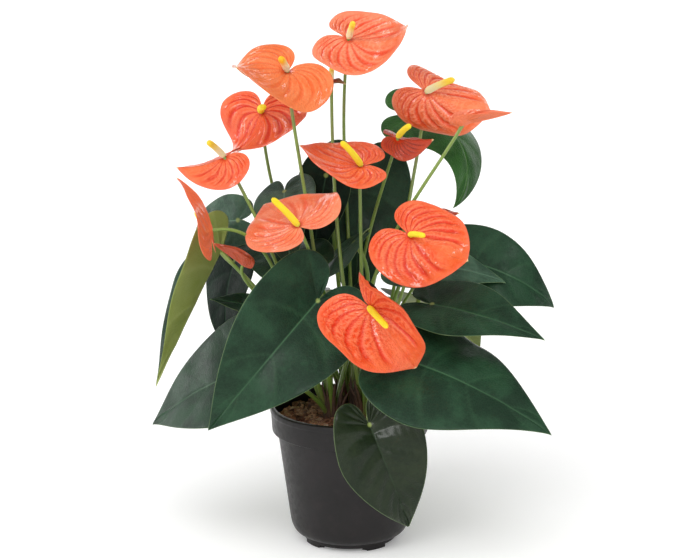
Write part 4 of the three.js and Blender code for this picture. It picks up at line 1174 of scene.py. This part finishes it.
florets_tree = spadix_tree()
for number, (name, values) in enumerate(BLOOMS.items()):
    bloom = dict(BLADE, **values, seed=number + FIRST_BLOOM_SEED, relief=RELIEF.get(name, PLAIN_RELIEF))
    tone = SPATHE_TONE.get(name, "coral")
    node = f"spathe_{name}"
    mesh = blade_mesh(node, "spathe", bloom)
    piece(f"dressed_spathe_{name}", mesh, node, SPATHE_SLOT.get(tone, "spathe"), f"spathe {tone}")
    stalk_lines[bloom["crown"]].append(stalk_line(bloom, BLOOM_STALK, True))
    if "spadix" not in values:
        continue
    shade = SPADIX_TONE.get(name, "yellow")
    slot = "spadix_cream" if shade == "cream" else "spadix_yellow"
    host = line_host(f"{name} line", [spadix_line(bloom)])
    florets = {
        "Florets": int(FLORETS_PER_MM * values["spadix"][0]), "Floret size": FLORET_SIZE * MM,
        "Seed": number, "Paint": MATERIALS[shade],
    }
    mesh = grown(f"{name} spadix", host, florets_tree, florets)
    piece(f"dressed_spadix_{name}", mesh, f"spadix_{name}", slot)

stalks_tree = tubes_tree()
for crown, lines in stalk_lines.items():
    host = line_host(f"{crown} lines", lines)
    mesh = grown(f"{crown} stalks", host, stalks_tree, {"Sides": 12, "Paint": MATERIALS["stalk"]})
    piece(f"dressed_stalks_{crown}", mesh, f"crown_{crown}", "stalk")

cuts = {
    "Holes": DRAIN["count"], "Ring": DRAIN["circle"] * MM, "Hole radius": DRAIN["radius"] * MM,
    "Hole depth": DRAIN["depth"] * MM,
    "Gaps": NOTCH["count"], "Gap ring": (POT["foot"] - 2) * MM, "Gap width": NOTCH["width"] * MM,
    "Gap length": 2 * POT["foot"] * MM * math.sin(math.radians(NOTCH["spread"] / 2)),
    "Gap height": NOTCH["height"] * MM, "First gap": math.radians(NOTCH["first"]),
    "Paint": MATERIALS["pot"],
}
pot_body = grown("pot", pot_mesh(144), cuts_tree(), cuts)
pot_body.set_sharp_from_angle(angle=math.radians(40))
piece("dressed_pot", pot_body, "pot", "pot")

# Chips and strips are told as how many there are on a square metre.
chips = {
    "Chips": 26000.0, "Strips": 14000.0, "Reach": 58 * MM, "Top": (SOIL["top"] - 7) * MM, "Seed": 3,
    "Paint": MATERIALS["bark"],
}
bark = grown("bark", soil_mesh(40, 96), chips_tree(), chips)
piece("dressed_substrate", bark, "substrate", "substrate")


# ---------- table, light and camera ----------
WHITE = (1, 1, 1, 1)
TABLE = ((-12.0, 0.0), (9.0, 0.0), (10.5, 0.25), (11.6, 1.2), (12.0, 2.6), (12.0, 6.0))
AIM = (0, 0, 0.3)
LAMP_DISTANCE = 2.2
# Turn and height in degrees, strength, and spread in degrees.
SOFT_LIGHTS = {"key": (-24, 46, 1.45, 50), "fill": (50, 50, 0.7, 70), "low fill": (-42, 3, 0.75, 60)}
# Turn and height in degrees, brightness, and width and height in metres.
WINDOWS = {
    "window behind left": (-140, 52, 7, 0.8, 0.25), "window behind right": (160, 44, 5, 0.5, 0.2),
    "strip left": (-72, 8, 12, 0.3, 1.1), "strip far left": (-110, 6, 15, 0.25, 1.1),
    "strip right": (66, 34, 9, 0.3, 0.8), "low front": (-12, 5, 12, 0.7, 0.5),
}
LENS, SENSOR, EYE, EYE_TILT = 106.97, 36, (0, -1.754, 0.640), 77


def table_top():
    """A pale table under and behind the plant, softly curving up far away."""
    vertices = [(x, y, z) for y, z in TABLE for x in (-12.0, 12.0)]
    faces = [(2 * k, 2 * k + 1, 2 * k + 3, 2 * k + 2) for k in range(len(TABLE) - 1)]
    mesh = bpy.data.meshes.new("table")
    mesh.from_pydata(vertices, [], faces)
    lit_pale = dict(Base_Color=WHITE, Emission_Color=WHITE, Emission_Strength=0.13, Roughness=0.9)
    mesh.materials.append(material("pale table", **lit_pale)[0])
    mesh.shade_smooth()
    table = bpy.data.objects.new("table", mesh)
    bpy.context.scene.collection.objects.link(table)


def lamp(data, turn, height):
    """Puts a light round the plant: turn runs from the camera's side to the right."""
    turn, height = math.radians(turn), math.radians(height)
    level = LAMP_DISTANCE * math.cos(height)
    at = (level * math.sin(turn), -level * math.cos(turn), AIM[2] + LAMP_DISTANCE * math.sin(height))
    lit = bpy.data.objects.new(data.name, data)
    lit.location = at
    lit.rotation_euler = (Vector(AIM) - Vector(at)).to_track_quat("-Z", "Y").to_euler()
    lit.visible_camera = False
    bpy.context.scene.collection.objects.link(lit)
    return lit


def soft_light(name, turn, height, power, spread):
    """Broad light that shapes the plant and shows in no reflection."""
    data = bpy.data.lights.new(name, "SUN")
    data.energy, data.angle = power, math.radians(spread)
    lamp(data, turn, height).visible_glossy = False


def window(name, turn, height, brightness, wide, tall):
    """A bright pane that shows only as a gleam on leaves, petals and pot."""
    data = bpy.data.lights.new(name, "AREA")
    data.shape, data.size, data.size_y = "RECTANGLE", wide, tall
    data.energy = brightness * math.pi * wide * tall
    lamp(data, turn, height).visible_diffuse = False


def sky():
    """White all round, brightest above the camera and dim behind and below."""
    world = bpy.data.worlds.new("studio")
    world.use_nodes = True
    nodes = Nodes(world.node_tree)
    way = nodes.add("ShaderNodeTexCoord").outputs["Generated"]
    towards = nodes.vector("DOT_PRODUCT", way, (-0.3, -0.75, 0.6))
    seen = nodes.add("ShaderNodeLightPath").outputs["Is Camera Ray"]
    glow = world.node_tree.nodes["Background"]
    dimmed = nodes.span(towards, -0.3, 0.95, 0.16, 0.75)
    nodes.put(glow.inputs["Strength"], nodes.math("MAXIMUM", dimmed, seen))
    glow.inputs["Color"].default_value = WHITE
    return world


def studio():
    scene = bpy.context.scene
    scene.world = sky()
    for name, values in SOFT_LIGHTS.items():
        soft_light(name, *values)
    for name, values in WINDOWS.items():
        window(name, *values)
    camera = bpy.data.cameras.new("camera")
    camera.lens, camera.sensor_width = LENS, SENSOR
    eye = bpy.data.objects.new("camera", camera)
    eye.location = EYE
    eye.rotation_euler = (math.radians(EYE_TILT), 0, 0)
    scene.collection.objects.link(eye)
    scene.camera = eye
    scene.view_settings.view_transform = "Standard"


table_top()
studio()
